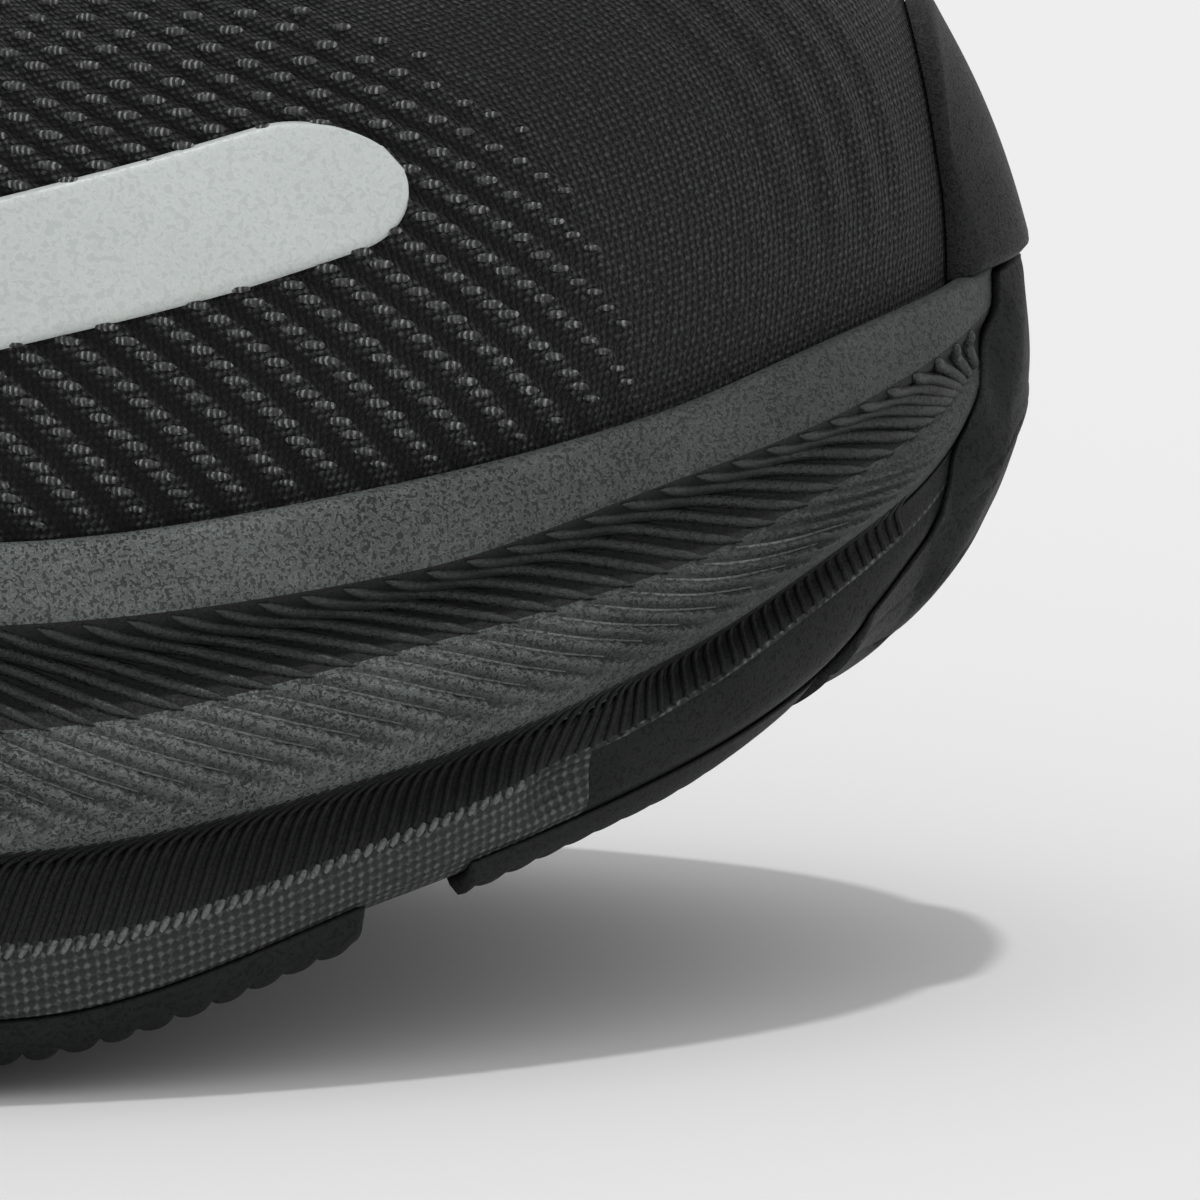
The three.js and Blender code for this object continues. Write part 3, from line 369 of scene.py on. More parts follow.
def grid_faces(rows: int, columns: int, closed: bool) -> np.ndarray:
    """Faces of a grid of rows by columns, whose columns may close on themselves."""
    i = np.arange(rows - 1)[:, None]
    j = np.arange(columns if closed else columns - 1)[None]
    a, b = i * columns + j, i * columns + (j + 1) % columns
    return np.stack([a, b, b + columns, a + columns], -1).reshape(-1, 4)


def ring_solid(
    name: str, rings: np.ndarray, uv: Optional[np.ndarray] = None, shade: Optional[np.ndarray] = None,
) -> bpy.types.Object:
    """Closed solid through rings, capped by strips that join facing points.

    Args:
        name: the piece's name.
        rings: rows of points that each go round the shoe, in shape millimetres.
        uv: one pair for each point.
        shade: painted light and shade at each point.

    Returns:
        The piece.
    """
    rows, n = rings.shape[:2]
    faces = [grid_faces(rows, n, True)]
    i = np.arange(n // 2)
    cap = np.stack([i, i + 1, (n - i - 1) % n, (n - i) % n], -1)
    faces += [cap[:, ::-1], cap + (rows - 1) * n]
    flat = None if uv is None else uv.reshape(-1, 2)
    return tidy(mesh_object(name, FORM.placed(rings.reshape(-1, 3)), np.concatenate(faces), flat, shade))


def loop_solid(
    name: str, loops: np.ndarray, uv: Optional[np.ndarray] = None, closed: bool = False,
) -> bpy.types.Object:
    """Solid whose every column is a closed loop of points, such as a wall with both its faces.

    Args:
        name: the piece's name.
        loops: columns along the piece, each with the points round its section.
        uv: one pair for each point.
        closed: whether the last column joins the first; otherwise the ends are capped.

    Returns:
        The piece.
    """
    columns, around = loops.shape[:2]
    faces = [grid_faces(columns, around, True)]
    if closed:
        j = np.arange(around)
        last = (columns - 1) * around
        faces.append(np.stack([last + j, last + (j + 1) % around, (j + 1) % around, j], -1))
    else:
        k = np.arange(around // 2 - 1)
        cap = np.stack([k, k + 1, around - 2 - k, around - 1 - k], -1)
        faces += [cap[:, ::-1], cap + (columns - 1) * around]
    flat = None if uv is None else uv.reshape(-1, 2)
    return tidy(mesh_object(name, FORM.placed(loops.reshape(-1, 3)), np.concatenate(faces), flat))


def tube_solid(name: str, path: np.ndarray, radius: float, sides: int = 12) -> bpy.types.Object:
    """Round tube along a path given in frame metres, with its length and turn as UV millimetres."""
    tangent = unit(np.gradient(path, axis=0))
    normal = np.zeros_like(path)
    normal[0] = unit(np.cross(tangent[0], np.array([0.3, 0.2, 1.0])))
    for i in range(1, len(path)):
        normal[i] = unit(normal[i - 1] - tangent[i] * np.dot(normal[i - 1], tangent[i]))
    side = np.cross(tangent, normal)
    turn = np.linspace(0, 2 * math.pi, sides, endpoint=False)
    ends = np.minimum(np.arange(len(path)), np.arange(len(path))[::-1])
    r = radius * np.sqrt(np.clip((ends + 0.3) / 1.5, 0, 1))
    around = np.cos(turn)[None, :, None] * normal[:, None] + np.sin(turn)[None, :, None] * side[:, None]
    loops = path[:, None] + around * r[:, None, None]
    run = np.concatenate(([0], np.cumsum(np.linalg.norm(np.diff(path, axis=0), axis=1)))) / MM
    uv = np.stack(np.broadcast_arrays(run[:, None], (turn * radius / MM)[None]), -1)
    return loop_solid(name, loops / MM - FORM.shift, uv)


def smooth_path(points: np.ndarray, steps: int) -> np.ndarray:
    """Open centripetal curve through points, with steps places for each stretch."""
    ghost = np.concatenate([2 * points[:1] - points[1:2], points, 2 * points[-1:] - points[-2:-1]])
    count = len(ghost)
    curve = closed_curve(ghost)
    t = np.linspace(1, count - 2, (len(points) - 1) * steps + 1) / count
    return curve(t)


# ------------------------------------------------------------------ node trees
class Tree:
    """Short ways to add nodes to a tree and join them."""

    def __init__(self, tree: bpy.types.NodeTree) -> None:
        """Keeps the tree."""
        self.tree = tree

    def add(self, kind: str, values: Optional[dict] = None, **settings: object) -> bpy.types.Node:
        """Adds a node.

        Args:
            kind: the node's type name.
            values: for each input, by name or number, a socket to join or a value to set.
            settings: the node's own properties.

        Returns:
            The node.
        """
        node = self.tree.nodes.new(kind)
        for key, value in settings.items():
            setattr(node, key, value)
        for key, value in (values or {}).items():
            if isinstance(value, bpy.types.NodeSocket):
                self.tree.links.new(value, node.inputs[key])
            else:
                node.inputs[key].default_value = value
        return node

    def math(self, operation: str, a: object, b: object = 0.0, c: object = 0.0) -> bpy.types.NodeSocket:
        """Result of a mathematical operation."""
        return self.add("ShaderNodeMath", {0: a, 1: b, 2: c}, operation=operation).outputs[0]

    def mix(self, share: object, a: object, b: object) -> bpy.types.NodeSocket:
        """Colour between a and b."""
        node = self.add("ShaderNodeMix", {"Factor": share, 6: a, 7: b}, data_type="RGBA")
        return node.outputs[2]

    def ramp(
        self, value: object, low: float, high: float, out_low: float = 0.0, out_high: float = 1.0,
    ) -> bpy.types.NodeSocket:
        """Value eased from out_low to out_high as it goes from low to high."""
        values = {"Value": value, "From Min": low, "From Max": high, "To Min": out_low, "To Max": out_high}
        return self.add("ShaderNodeMapRange", values, interpolation_type="SMOOTHSTEP").outputs[0]


def new_group(name: str, inputs: dict, outputs: dict, kind: str = "ShaderNodeTree") -> tuple:
    """Starts a node group.

    Args:
        name: the group's name.
        inputs: each input's socket type and default value.
        outputs: each output's socket type.
        kind: the type of tree.

    Returns:
        The group, a Tree on it, its input node and its output node.
    """
    group = bpy.data.node_groups.new(name, kind)
    for label, (socket, value) in inputs.items():
        item = group.interface.new_socket(label, in_out="INPUT", socket_type=socket)
        if value is not None:
            item.default_value = value
    for label, socket in outputs.items():
        group.interface.new_socket(label, in_out="OUTPUT", socket_type=socket)
    return group, Tree(group), group.nodes.new("NodeGroupInput"), group.nodes.new("NodeGroupOutput")


FLOAT, VECTOR = "NodeSocketFloat", "NodeSocketVector"


def grain_group() -> bpy.types.NodeTree:
    """Moulded grain: small worm-like ridges with larger soft patches."""
    inputs = {"Vector": (VECTOR, None), "Size": (FLOAT, 0.4), "Worms": (FLOAT, 0.6)}
    group, tree, start, end = new_group("moulded_grain", inputs, {"Height": FLOAT, "Patches": FLOAT})
    scale = tree.math("DIVIDE", 1000.0, start.outputs["Size"])
    wanted = {"Vector": start.outputs["Vector"], "Scale": scale, "Detail": 2.0, "Distortion": 0.4}
    fine = tree.add("ShaderNodeTexNoise", wanted)
    folded = tree.math("ABSOLUTE", tree.math("SUBTRACT", fine.outputs["Fac"], 0.5))
    worms = tree.ramp(folded, 0.0, 0.12, 1.0, 0.0)
    dots = tree.ramp(fine.outputs["Fac"], 0.38, 0.62)
    shares = {"Factor": start.outputs["Worms"], 2: dots, 3: worms}
    height = tree.add("ShaderNodeMix", shares, data_type="FLOAT").outputs[0]
    broad = tree.add("ShaderNodeTexNoise", {"Vector": start.outputs["Vector"], "Scale": 130.0, "Detail": 3.0})
    tree.tree.links.new(height, end.inputs["Height"])
    tree.tree.links.new(tree.ramp(broad.outputs["Fac"], 0.35, 0.65), end.inputs["Patches"])
    return group


def weave_group() -> bpy.types.NodeTree:
    """Crossed threads at pitches given in millimetres, turned by an angle, with uneven yarn."""
    inputs = {
        "Vector": (VECTOR, None), "Along": (FLOAT, 1.0), "Across": (FLOAT, 1.0),
        "Turn": (FLOAT, 0.0), "Uneven": (FLOAT, 0.15),
    }
    group, tree, start, end = new_group(
        "crossed_threads", inputs, {"Height": FLOAT, "Holes": FLOAT, "Yarn": FLOAT},
    )
    turning = {"Vector": start.outputs["Vector"], "Angle": start.outputs["Turn"]}
    turned = tree.add("ShaderNodeVectorRotate", turning, rotation_type="Z_AXIS")
    noise = tree.add("ShaderNodeTexNoise", {"Vector": turned.outputs[0], "Scale": 0.9, "Detail": 2.0})
    shift = tree.math("MULTIPLY", tree.math("SUBTRACT", noise.outputs["Fac"], 0.5), start.outputs["Uneven"])
    parts = tree.add("ShaderNodeSeparateXYZ", {0: turned.outputs[0]})
    waves = []
    for axis, pitch in (("X", "Along"), ("Y", "Across")):
        moved = tree.math("ADD", parts.outputs[axis], shift)
        turn = tree.math("DIVIDE", tree.math("MULTIPLY", moved, 2 * math.pi), start.outputs[pitch])
        waves.append(tree.math("SINE", turn))
    crossed = tree.math("MULTIPLY", waves[0], waves[1])
    height = tree.math("MULTIPLY_ADD", crossed, 0.5, 0.5)
    yarn = tree.add("ShaderNodeTexNoise", {"Vector": turned.outputs[0], "Scale": 2.3, "Detail": 3.0})
    tree.tree.links.new(height, end.inputs["Height"])
    tree.tree.links.new(tree.ramp(crossed, -0.9, -0.35, 1.0, 0.0), end.inputs["Holes"])
    tree.tree.links.new(yarn.outputs["Fac"], end.inputs["Yarn"])
    return group


def dust_group() -> bpy.types.NodeTree:
    """Fine dust and rubbed spots: a mask, patchy at a few millimetres."""
    inputs = {"Vector": (VECTOR, None), "Amount": (FLOAT, 0.3)}
    group, tree, start, end = new_group("rubbed_dust", inputs, {"Mask": FLOAT})
    wanted = {"Vector": start.outputs["Vector"], "Scale": 90.0, "Detail": 5.0, "Roughness": 0.7}
    patch = tree.add("ShaderNodeTexNoise", wanted)
    specks = tree.add(
        "ShaderNodeTexNoise", {"Vector": start.outputs["Vector"], "Scale": 1900.0, "Detail": 1.0},
    )
    speckled = tree.ramp(specks.outputs["Fac"], 0.5, 0.7)
    both = tree.math("MULTIPLY", tree.ramp(patch.outputs["Fac"], 0.45, 0.75), speckled)
    tree.tree.links.new(tree.math("MULTIPLY", both, start.outputs["Amount"]), end.inputs["Mask"])
    return group


def bands_group() -> bpy.types.NodeTree:
    """Light and shade of the knit's slanting bands, and its finer, lighter mesh above them."""
    inputs = {
        "Vector": (VECTOR, None), "Surface": (VECTOR, None), "Height Shift": (FLOAT, 0.0),
        "Pitch": (FLOAT, BAND_PITCH),
    }
    group, tree, start, end = new_group("slanting_bands", inputs, {"Lit": FLOAT})
    place = tree.add("ShaderNodeSeparateXYZ", {0: start.outputs["Vector"]})
    where = tree.add("ShaderNodeSeparateXYZ", {0: start.outputs["Surface"]})
    z = tree.math("MULTIPLY_ADD", place.outputs["Z"], 1 / MM, start.outputs["Height Shift"])
    a = math.radians(BAND_ANGLE)
    across = tree.math(
        "MULTIPLY_ADD", where.outputs["X"], -math.sin(a), tree.math("MULTIPLY", z, math.cos(a)),
    )
    turn = tree.math("DIVIDE", tree.math("MULTIPLY", across, 2 * math.pi), start.outputs["Pitch"])
    crest = tree.ramp(tree.math("COSINE", turn), -0.75, 0.7, 0.1, 1.15)
    low = tree.ramp(where.outputs["Y"], 36.0, 46.0, 1.0, 0.0)
    region = tree.math("MULTIPLY", tree.ramp(where.outputs["X"], 42.0, 58.0), low)
    region = tree.math("MULTIPLY", region, tree.ramp(where.outputs["X"], 285.0, 320.0, 1.0, 0.0))
    plain = tree.ramp(where.outputs["Y"], 38.0, 46.0, 0.55, 1.0)
    lit = tree.add("ShaderNodeMix", {"Factor": region, 2: plain, 3: crest}, data_type="FLOAT").outputs[0]
    tree.tree.links.new(lit, end.inputs["Lit"])
    return group


BAND_PITCH, BAND_ANGLE = 3.05, 47.0
GRAIN, THREADS, DUST, BANDS = grain_group(), weave_group(), dust_group(), bands_group()


class Pattern(Enum):
    """What a finish's fine surface is."""

    GRAIN = "grain"
    THREADS = "threads"
    KNURL = "knurl"


@dataclass(frozen=True)
class Finish:
    """One finish: its colours, gloss and the pattern of its fine surface."""

    name: str
    colour: tuple[float, float, float]
    high: tuple[float, float, float]
    rough: float
    pattern: Pattern = Pattern.GRAIN
    along: float = 0.4
    across: float = 0.4
    turn: float = 0.0
    depth: float = 0.05
    uneven: float = 0.15
    gloss: float = 0.5
    sheen: float = 0.0
    coat: float = 0.0
    metal: float = 0.0
    dust: float = 0.15
    rough_spread: float = 0.12
    own_uv: bool = True
    # banded: darkens the colour in the hollows between the knit's bands, which is painted shade.
    banded: bool = False
    # shaded: multiplies the colour by the piece's shade attribute, which is painted light and shade.
    shaded: bool = False

    def material(self) -> bpy.types.Material:
        """Builds the material, once."""
        made = bpy.data.materials.get(self.name)
        if made:
            return made
        made = bpy.data.materials.new(self.name)
        made.use_nodes = True
        made.diffuse_color = (*self.colour, 1)
        tree = Tree(made.node_tree)
        shader = made.node_tree.nodes["Principled BSDF"]
        places = tree.add("ShaderNodeTexCoord").outputs["Object"]
        if self.own_uv:
            surface = tree.add("ShaderNodeUVMap", uv_map="surface").outputs[0]
        else:
            surface = self.millimetres(tree, places)
        height, share = self.fine_surface(tree, places, surface)
        dust = tree.add("ShaderNodeGroup", node_tree=DUST)
        dust.inputs["Amount"].default_value = self.dust
        made.node_tree.links.new(places, dust.inputs["Vector"])
        # Painted shade in the hollows between the knit's bands.
        if self.banded:
            share = tree.math("MULTIPLY", share, self.crests(tree, places, surface))
        # Painted light and shade from the piece's shade attribute.
        if self.shaded:
            share = tree.math(
                "MULTIPLY", share, tree.add("ShaderNodeAttribute", attribute_name="shade").outputs["Fac"],
            )
        base = tree.mix(share, (*self.colour, 1), (*self.high, 1))
        dusty = tree.mix(dust.outputs["Mask"], base, (0.16, 0.165, 0.16, 1))
        rough = tree.ramp(
            share, 0.0, 1.0, self.rough + self.rough_spread / 2, self.rough - self.rough_spread / 2,
        )
        bump = tree.add("ShaderNodeBump", {"Height": height, "Distance": self.depth * MM, "Strength": 1.0})
        made.node_tree.links.new(dusty, shader.inputs["Base Color"])
        made.node_tree.links.new(rough, shader.inputs["Roughness"])
        made.node_tree.links.new(bump.outputs[0], shader.inputs["Normal"])
        shader.inputs["Metallic"].default_value = self.metal
        shader.inputs["Specular IOR Level"].default_value = self.gloss
        shader.inputs["Sheen Weight"].default_value = self.sheen
        shader.inputs["Sheen Roughness"].default_value = 0.4
        shader.inputs["Coat Weight"].default_value = self.coat
        shader.inputs["Coat Roughness"].default_value = 0.35
        return made

    def crests(
        self, tree: Tree, places: bpy.types.NodeSocket, surface: bpy.types.NodeSocket,
    ) -> bpy.types.NodeSocket:
        """How much light the yarn catches: less in the hollows between the knit's diagonal bands."""
        bands = tree.add("ShaderNodeGroup", node_tree=BANDS)
        tree.tree.links.new(places, bands.inputs["Vector"])
        tree.tree.links.new(surface, bands.inputs["Surface"])
        bands.inputs["Height Shift"].default_value = -float(FORM.shift[2])
        return bands.outputs["Lit"]

    def millimetres(self, tree: Tree, places: bpy.types.NodeSocket) -> bpy.types.NodeSocket:
        """Object coordinates in millimetres, for a piece with no surface map."""
        return tree.add("ShaderNodeVectorMath", {0: places, "Scale": 1 / MM}, operation="SCALE").outputs[0]

    def fine_surface(self, tree: Tree, places: bpy.types.NodeSocket, surface: bpy.types.NodeSocket) -> tuple:
        """Height of the fine surface and the share of the lighter colour."""
        if self.pattern is Pattern.GRAIN:
            grain = tree.add("ShaderNodeGroup", {}, node_tree=GRAIN)
            grain.inputs["Size"].default_value = self.along
            tree.tree.links.new(places, grain.inputs["Vector"])
            patches = tree.math("MULTIPLY", grain.outputs["Patches"], 0.16)
            return grain.outputs["Height"], tree.math("MULTIPLY_ADD", grain.outputs["Height"], 0.84, patches)
        threads = tree.add("ShaderNodeGroup", {}, node_tree=THREADS)
        sizes = {"Along": self.along, "Across": self.across, "Turn": self.turn, "Uneven": self.uneven}
        for label, value in sizes.items():
            threads.inputs[label].default_value = value
        tree.tree.links.new(surface, threads.inputs["Vector"])
        uneven = tree.ramp(threads.outputs["Yarn"], 0.36, 0.66, 0.2, 1.3)
        # Raised parts of threads and knurls take the lighter colour as painted highlight, and the hollows the
        # darker as painted shade.
        lit = tree.ramp(threads.outputs["Height"], 0.35, 0.95)
        share = tree.math("MULTIPLY", lit, uneven)
        if self.pattern is Pattern.KNURL:
            return threads.outputs["Height"], share
        low = tree.math("MULTIPLY", threads.outputs["Holes"], -0.6)
        return tree.math("ADD", tree.math("MULTIPLY", threads.outputs["Height"], uneven), low), share


# Foam skin; its colour is multiplied by the painted light and shade in the shade attribute.
FOAM = Finish(
    "foam_skin", (0.012, 0.0155, 0.015), (0.165, 0.184, 0.176), 0.6, along=0.3, depth=0.1, gloss=0.4,
    shaded=True,
)
# Darker copy of the foam skin for the ribs in the channel: painted shade.
FOAM_RIB_PAINTED_SHADE = Finish(
    "foam_ribs_painted_shade", (0.005, 0.0056, 0.0055), (0.03, 0.033, 0.032), 0.42, along=0.3, depth=0.05, gloss=0.45,
    dust=0.03,
)
# Lighter copy of the foam skin for the fin ends and step edges: painted highlight.
FOAM_PAINTED_HIGHLIGHT = Finish(
    "foam_painted_highlight", (0.05, 0.056, 0.054), (0.15, 0.165, 0.16), 0.55, along=0.4, depth=0.03, gloss=0.5,
    own_uv=False,
)
# Darker copy of the foam skin for the channel, the lower groove and its fins: painted shade.
FOAM_PAINTED_SHADE = Finish(
    "foam_painted_shade", (0.003, 0.0033, 0.0033), (0.011, 0.012, 0.0117), 0.6, along=0.3, depth=0.04,
    gloss=0.3, dust=0.03,
)
# Knurled wall: the lighter colour on the raised knurls is painted highlight.
FOAM_KNURLED = Finish(
    "foam_knurled", (0.006, 0.0065, 0.0065), (0.085, 0.092, 0.09), 0.55, Pattern.KNURL,
    along=1.05, across=1.05, turn=math.radians(38), depth=0.22, uneven=0.03,
)
RUBBER = Finish(
    "tread_rubber", (0.005, 0.0054, 0.0054), (0.014, 0.015, 0.015), 0.6, along=0.4, depth=0.03, dust=0.03,
    gloss=0.16,
)
# Black yarn: its lighter colour is painted highlight on the raised threads and band crests.
KNIT = Finish(
    "knit_yarn", (0.0022, 0.0024, 0.0024), (0.08, 0.085, 0.083), 0.72, Pattern.THREADS,
    along=0.95, across=0.72, turn=math.radians(38), depth=0.26, uneven=0.5, sheen=0.06, rough_spread=0.2,
    gloss=0.3, banded=True, dust=0.05,
)
# Lighter copy of the black yarn for the raised stitches: painted highlight.
STITCH_PAINTED_HIGHLIGHT = Finish(
    "raised_yarn_painted_highlight", (0.012, 0.0125, 0.0125), (0.26, 0.27, 0.265), 0.5, Pattern.THREADS,
    along=0.36, across=2.2, turn=math.radians(20), depth=0.12, uneven=0.3, sheen=0.1, gloss=0.5,
    own_uv=False, dust=0.05,
)
OVERLAY = Finish(
    "fused_film", (0.004, 0.0043, 0.0043), (0.02, 0.021, 0.0205), 0.55, along=0.3, depth=0.06, gloss=0.2,
    dust=0.03,
)
FLASH = Finish(
    "reflective_film", (0.49, 0.525, 0.51), (0.60, 0.64, 0.62), 0.4, along=0.5, depth=0.015, dust=0.05,
    gloss=0.5,
)
LINING = Finish(
    "lining_mesh", (0.006, 0.0065, 0.0065), (0.035, 0.037, 0.036), 0.85, Pattern.THREADS,
    along=1.5, across=1.3, turn=math.radians(45), depth=0.25, sheen=0.4,
)
TONGUE_KNIT = Finish(
    "tongue_knit", (0.006, 0.0063, 0.0063), (0.04, 0.042, 0.041), 0.8, Pattern.THREADS,
    along=1.2, across=1.0, turn=math.radians(45), depth=0.2, uneven=0.3, sheen=0.25, own_uv=False,
)
COVER = Finish(
    "sock_fabric", (0.010, 0.0105, 0.0105), (0.05, 0.053, 0.052), 0.9, Pattern.THREADS,
    along=0.9, across=0.9, turn=0.0, depth=0.12, sheen=0.3, own_uv=False,
)
LACE_YARN = Finish(
    "lace_braid", (0.009, 0.0095, 0.0095), (0.06, 0.063, 0.062), 0.65, Pattern.THREADS,
    along=1.3, across=1.0, turn=math.radians(45), depth=0.18, uneven=0.06, sheen=0.25,
)
WEBBING = Finish(
    "woven_webbing", (0.009, 0.0095, 0.0095), (0.055, 0.058, 0.057), 0.7, Pattern.THREADS,
    along=0.8, across=1.1, turn=0.0, depth=0.16, uneven=0.08, sheen=0.2, own_uv=False,
)
PLASTIC = Finish(
    "moulded_plastic", (0.012, 0.0125, 0.0125), (0.02, 0.021, 0.021), 0.35, along=0.6, depth=0.008,
    own_uv=False,
)
BOARD = Finish(
    "fibre_board", (0.02, 0.021, 0.021), (0.05, 0.052, 0.052), 0.9, along=0.9, depth=0.05, own_uv=False,
)


def dress(obj: bpy.types.Object, finish: Finish) -> bpy.types.Object:
    """Gives a piece one finish."""
    obj.data.materials.clear()
    obj.data.materials.append(finish.material())
    return obj


def settle(obj: bpy.types.Object, body: str, replaced: Sequence[str] = ()) -> bpy.types.Object:
    """Hands a finished piece to the frame.

    Args:
        obj: the piece.
        body: the body it rides on.
        replaced: the nodes it stands for.

    Returns:
        The same piece.
    """
    if replaced:
        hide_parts(*replaced)
    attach(obj, body)
    LOG.info("%s: %d faces", obj.name, len(obj.data.polygons))
    return obj


# ------------------------------------------------------------------ geometry nodes
def socket_of(tree: bpy.types.NodeTree, label: str) -> str:
    """Identifier of a group's input."""
    sockets = [item for item in tree.interface.items_tree if item.item_type == "SOCKET"]
    return next(item.identifier for item in sockets if item.in_out == "INPUT" and item.name == label)


def grown(source: bpy.types.Object, tree: bpy.types.NodeTree, values: dict, name: str) -> bpy.types.Object:
    """Runs a geometry tree on an object and keeps the result as a plain mesh.

    Args:
        source: the object with the tree's input, which is removed.
        tree: the geometry tree.
        values: a value for each named input.
        name: the new piece's name.

    Returns:
        The new piece.
    """
    modifier = source.modifiers.new(tree.name, "NODES")
    modifier.node_group = tree
    for label, value in values.items():
        modifier[socket_of(tree, label)] = value
    bpy.context.view_layer.update()
    graph = bpy.context.evaluated_depsgraph_get()
    mesh = bpy.data.meshes.new_from_object(source.evaluated_get(graph), depsgraph=graph)
    obj = bpy.data.objects.new(name, mesh)
    bpy.context.scene.collection.objects.link(obj)
    modifier.node_group = None
    source.modifiers.remove(modifier)
    bpy.data.objects.remove(source)
    mesh.name = name
    mesh.polygons.foreach_set("use_smooth", np.full(len(mesh.polygons), True))
    return obj


def line_object(name: str, lines: np.ndarray, thick: np.ndarray) -> bpy.types.Object:
    """Object of many open lines with the same number of points.

    Args:
        name: its name.
        lines: the lines' points, in shape millimetres.
        thick: the share of the full thickness at each point.
    """
    count, along = lines.shape[:2]
    mesh = bpy.data.meshes.new(name)
    start = (np.arange(count)[:, None] * along + np.arange(along - 1)[None]).ravel()
    edges = np.stack([start, start + 1], -1)
    mesh.from_pydata(FORM.placed(lines.reshape(-1, 3)).tolist(), edges.tolist(), [])
    attribute = mesh.attributes.new("thick", "FLOAT", "POINT")
    attribute.data.foreach_set("value", np.broadcast_to(thick, (count, along)).astype(np.float32).ravel())
    obj = bpy.data.objects.new(name, mesh)
    bpy.context.scene.collection.objects.link(obj)
    return obj


def bars_tree() -> bpy.types.NodeTree:
    """Geometry tree that turns lines into rounded bars, as thick as their thick attribute says."""
    inputs = {
        "Geometry": ("NodeSocketGeometry", None), "Radius": (FLOAT, 0.0005),
        "Sides": ("NodeSocketInt", 6), "Finish": ("NodeSocketMaterial", None),
    }
    group, tree, start, end = new_group(
        "rounded_bars", inputs, {"Geometry": "NodeSocketGeometry"}, "GeometryNodeTree",
    )
    curves = tree.add("GeometryNodeMeshToCurve", {"Mesh": start.outputs["Geometry"]})
    share = tree.add("GeometryNodeInputNamedAttribute", {"Name": "thick"}, data_type="FLOAT")
    sized = tree.add("GeometryNodeSetCurveRadius", {"Curve": curves.outputs[0], "Radius": share.outputs[0]})
    round_section = {"Resolution": start.outputs["Sides"], "Radius": start.outputs["Radius"]}
    ring = tree.add("GeometryNodeCurvePrimitiveCircle", round_section)
    values = {"Curve": sized.outputs[0], "Profile Curve": ring.outputs[0], "Fill Caps": True}
    bars = tree.add("GeometryNodeCurveToMesh", values)
    if "Scale" in bars.inputs:
        radius = tree.add("GeometryNodeInputRadius")
        group.links.new(radius.outputs[0], bars.inputs["Scale"])
    real = tree.add("GeometryNodeRealizeInstances", {0: bars.outputs[0]})
    dressed = tree.add(
        "GeometryNodeSetMaterial", {"Geometry": real.outputs[0], "Material": start.outputs["Finish"]},
    )
    group.links.new(dressed.outputs[0], end.inputs["Geometry"])
    return group


def beads_tree() -> bpy.types.NodeTree:
    """Geometry tree that puts a long bead on each point, turned and sized by the points' attributes."""
    inputs = {
        "Geometry": ("NodeSocketGeometry", None), "Length": (FLOAT, 0.0018), "Width": (FLOAT, 0.0007),
        "Height": (FLOAT, 0.0005), "Sides": ("NodeSocketInt", 6), "Finish": ("NodeSocketMaterial", None),
    }
    group, tree, start, end = new_group(
        "laid_beads", inputs, {"Geometry": "NodeSocketGeometry"}, "GeometryNodeTree",
    )
    bead = tree.add(
        "GeometryNodeMeshUVSphere", {"Segments": start.outputs["Sides"], "Rings": 4, "Radius": 0.5},
    )
    sides = {0: start.outputs["Length"], 1: start.outputs["Width"], 2: start.outputs["Height"]}
    size = tree.add("ShaderNodeCombineXYZ", sides)
    upright = tree.add(
        "GeometryNodeTransform", {"Geometry": bead.outputs[0], "Rotation": (0, math.pi / 2, 0)},
    )
    sized = tree.add("GeometryNodeTransform", {"Geometry": upright.outputs[0], "Scale": size.outputs[0]})
    turn = tree.add("GeometryNodeInputNamedAttribute", {"Name": "turn"}, data_type="FLOAT_VECTOR")
    scale = tree.add("GeometryNodeInputNamedAttribute", {"Name": "size"}, data_type="FLOAT")
    values = {
        "Points": start.outputs["Geometry"], "Instance": sized.outputs[0],
        "Rotation": turn.outputs[0], "Scale": scale.outputs[0],
    }
    laid = tree.add("GeometryNodeInstanceOnPoints", values)
    real = tree.add("GeometryNodeRealizeInstances", {0: laid.outputs[0]})
    dressed = tree.add(
        "GeometryNodeSetMaterial", {"Geometry": real.outputs[0], "Material": start.outputs["Finish"]},
    )
    group.links.new(dressed.outputs[0], end.inputs["Geometry"])
    return group


BARS, BEADS = bars_tree(), beads_tree()


def bead_object(
    name: str, points: np.ndarray, along: np.ndarray, normal: np.ndarray, size: np.ndarray,
) -> bpy.types.Object:
    """Points that carry the turn and size of the beads to be laid on them.

    Args:
        name: its name.
        points: places in shape millimetres.
        along: each bead's long direction.
        normal: the surface's normal at each bead.
        size: each bead's share of the full size.
    """
    side = unit(np.cross(normal, along))
    front = np.cross(side, normal)
    turns = [Matrix((f, s, n)).transposed().to_euler() for f, s, n in zip(front, side, normal)]
    mesh = bpy.data.meshes.new(name)
    mesh.from_pydata(FORM.placed(points).tolist(), [], [])
    mesh.attributes.new("turn", "FLOAT_VECTOR", "POINT").data.foreach_set(
        "vector", np.array(turns, np.float32).ravel(),
    )
    mesh.attributes.new("size", "FLOAT", "POINT").data.foreach_set("value", size.astype(np.float32))
    obj = bpy.data.objects.new(name, mesh)
    bpy.context.scene.collection.objects.link(obj)
    return obj


# ------------------------------------------------------------------ sole
def toe_distance(t: np.ndarray) -> np.ndarray:
    """Distance from the toe's tip along the nearer side, in millimetres."""
    s = FORM.arc(t)
    return np.minimum(s, FORM.girth - s)


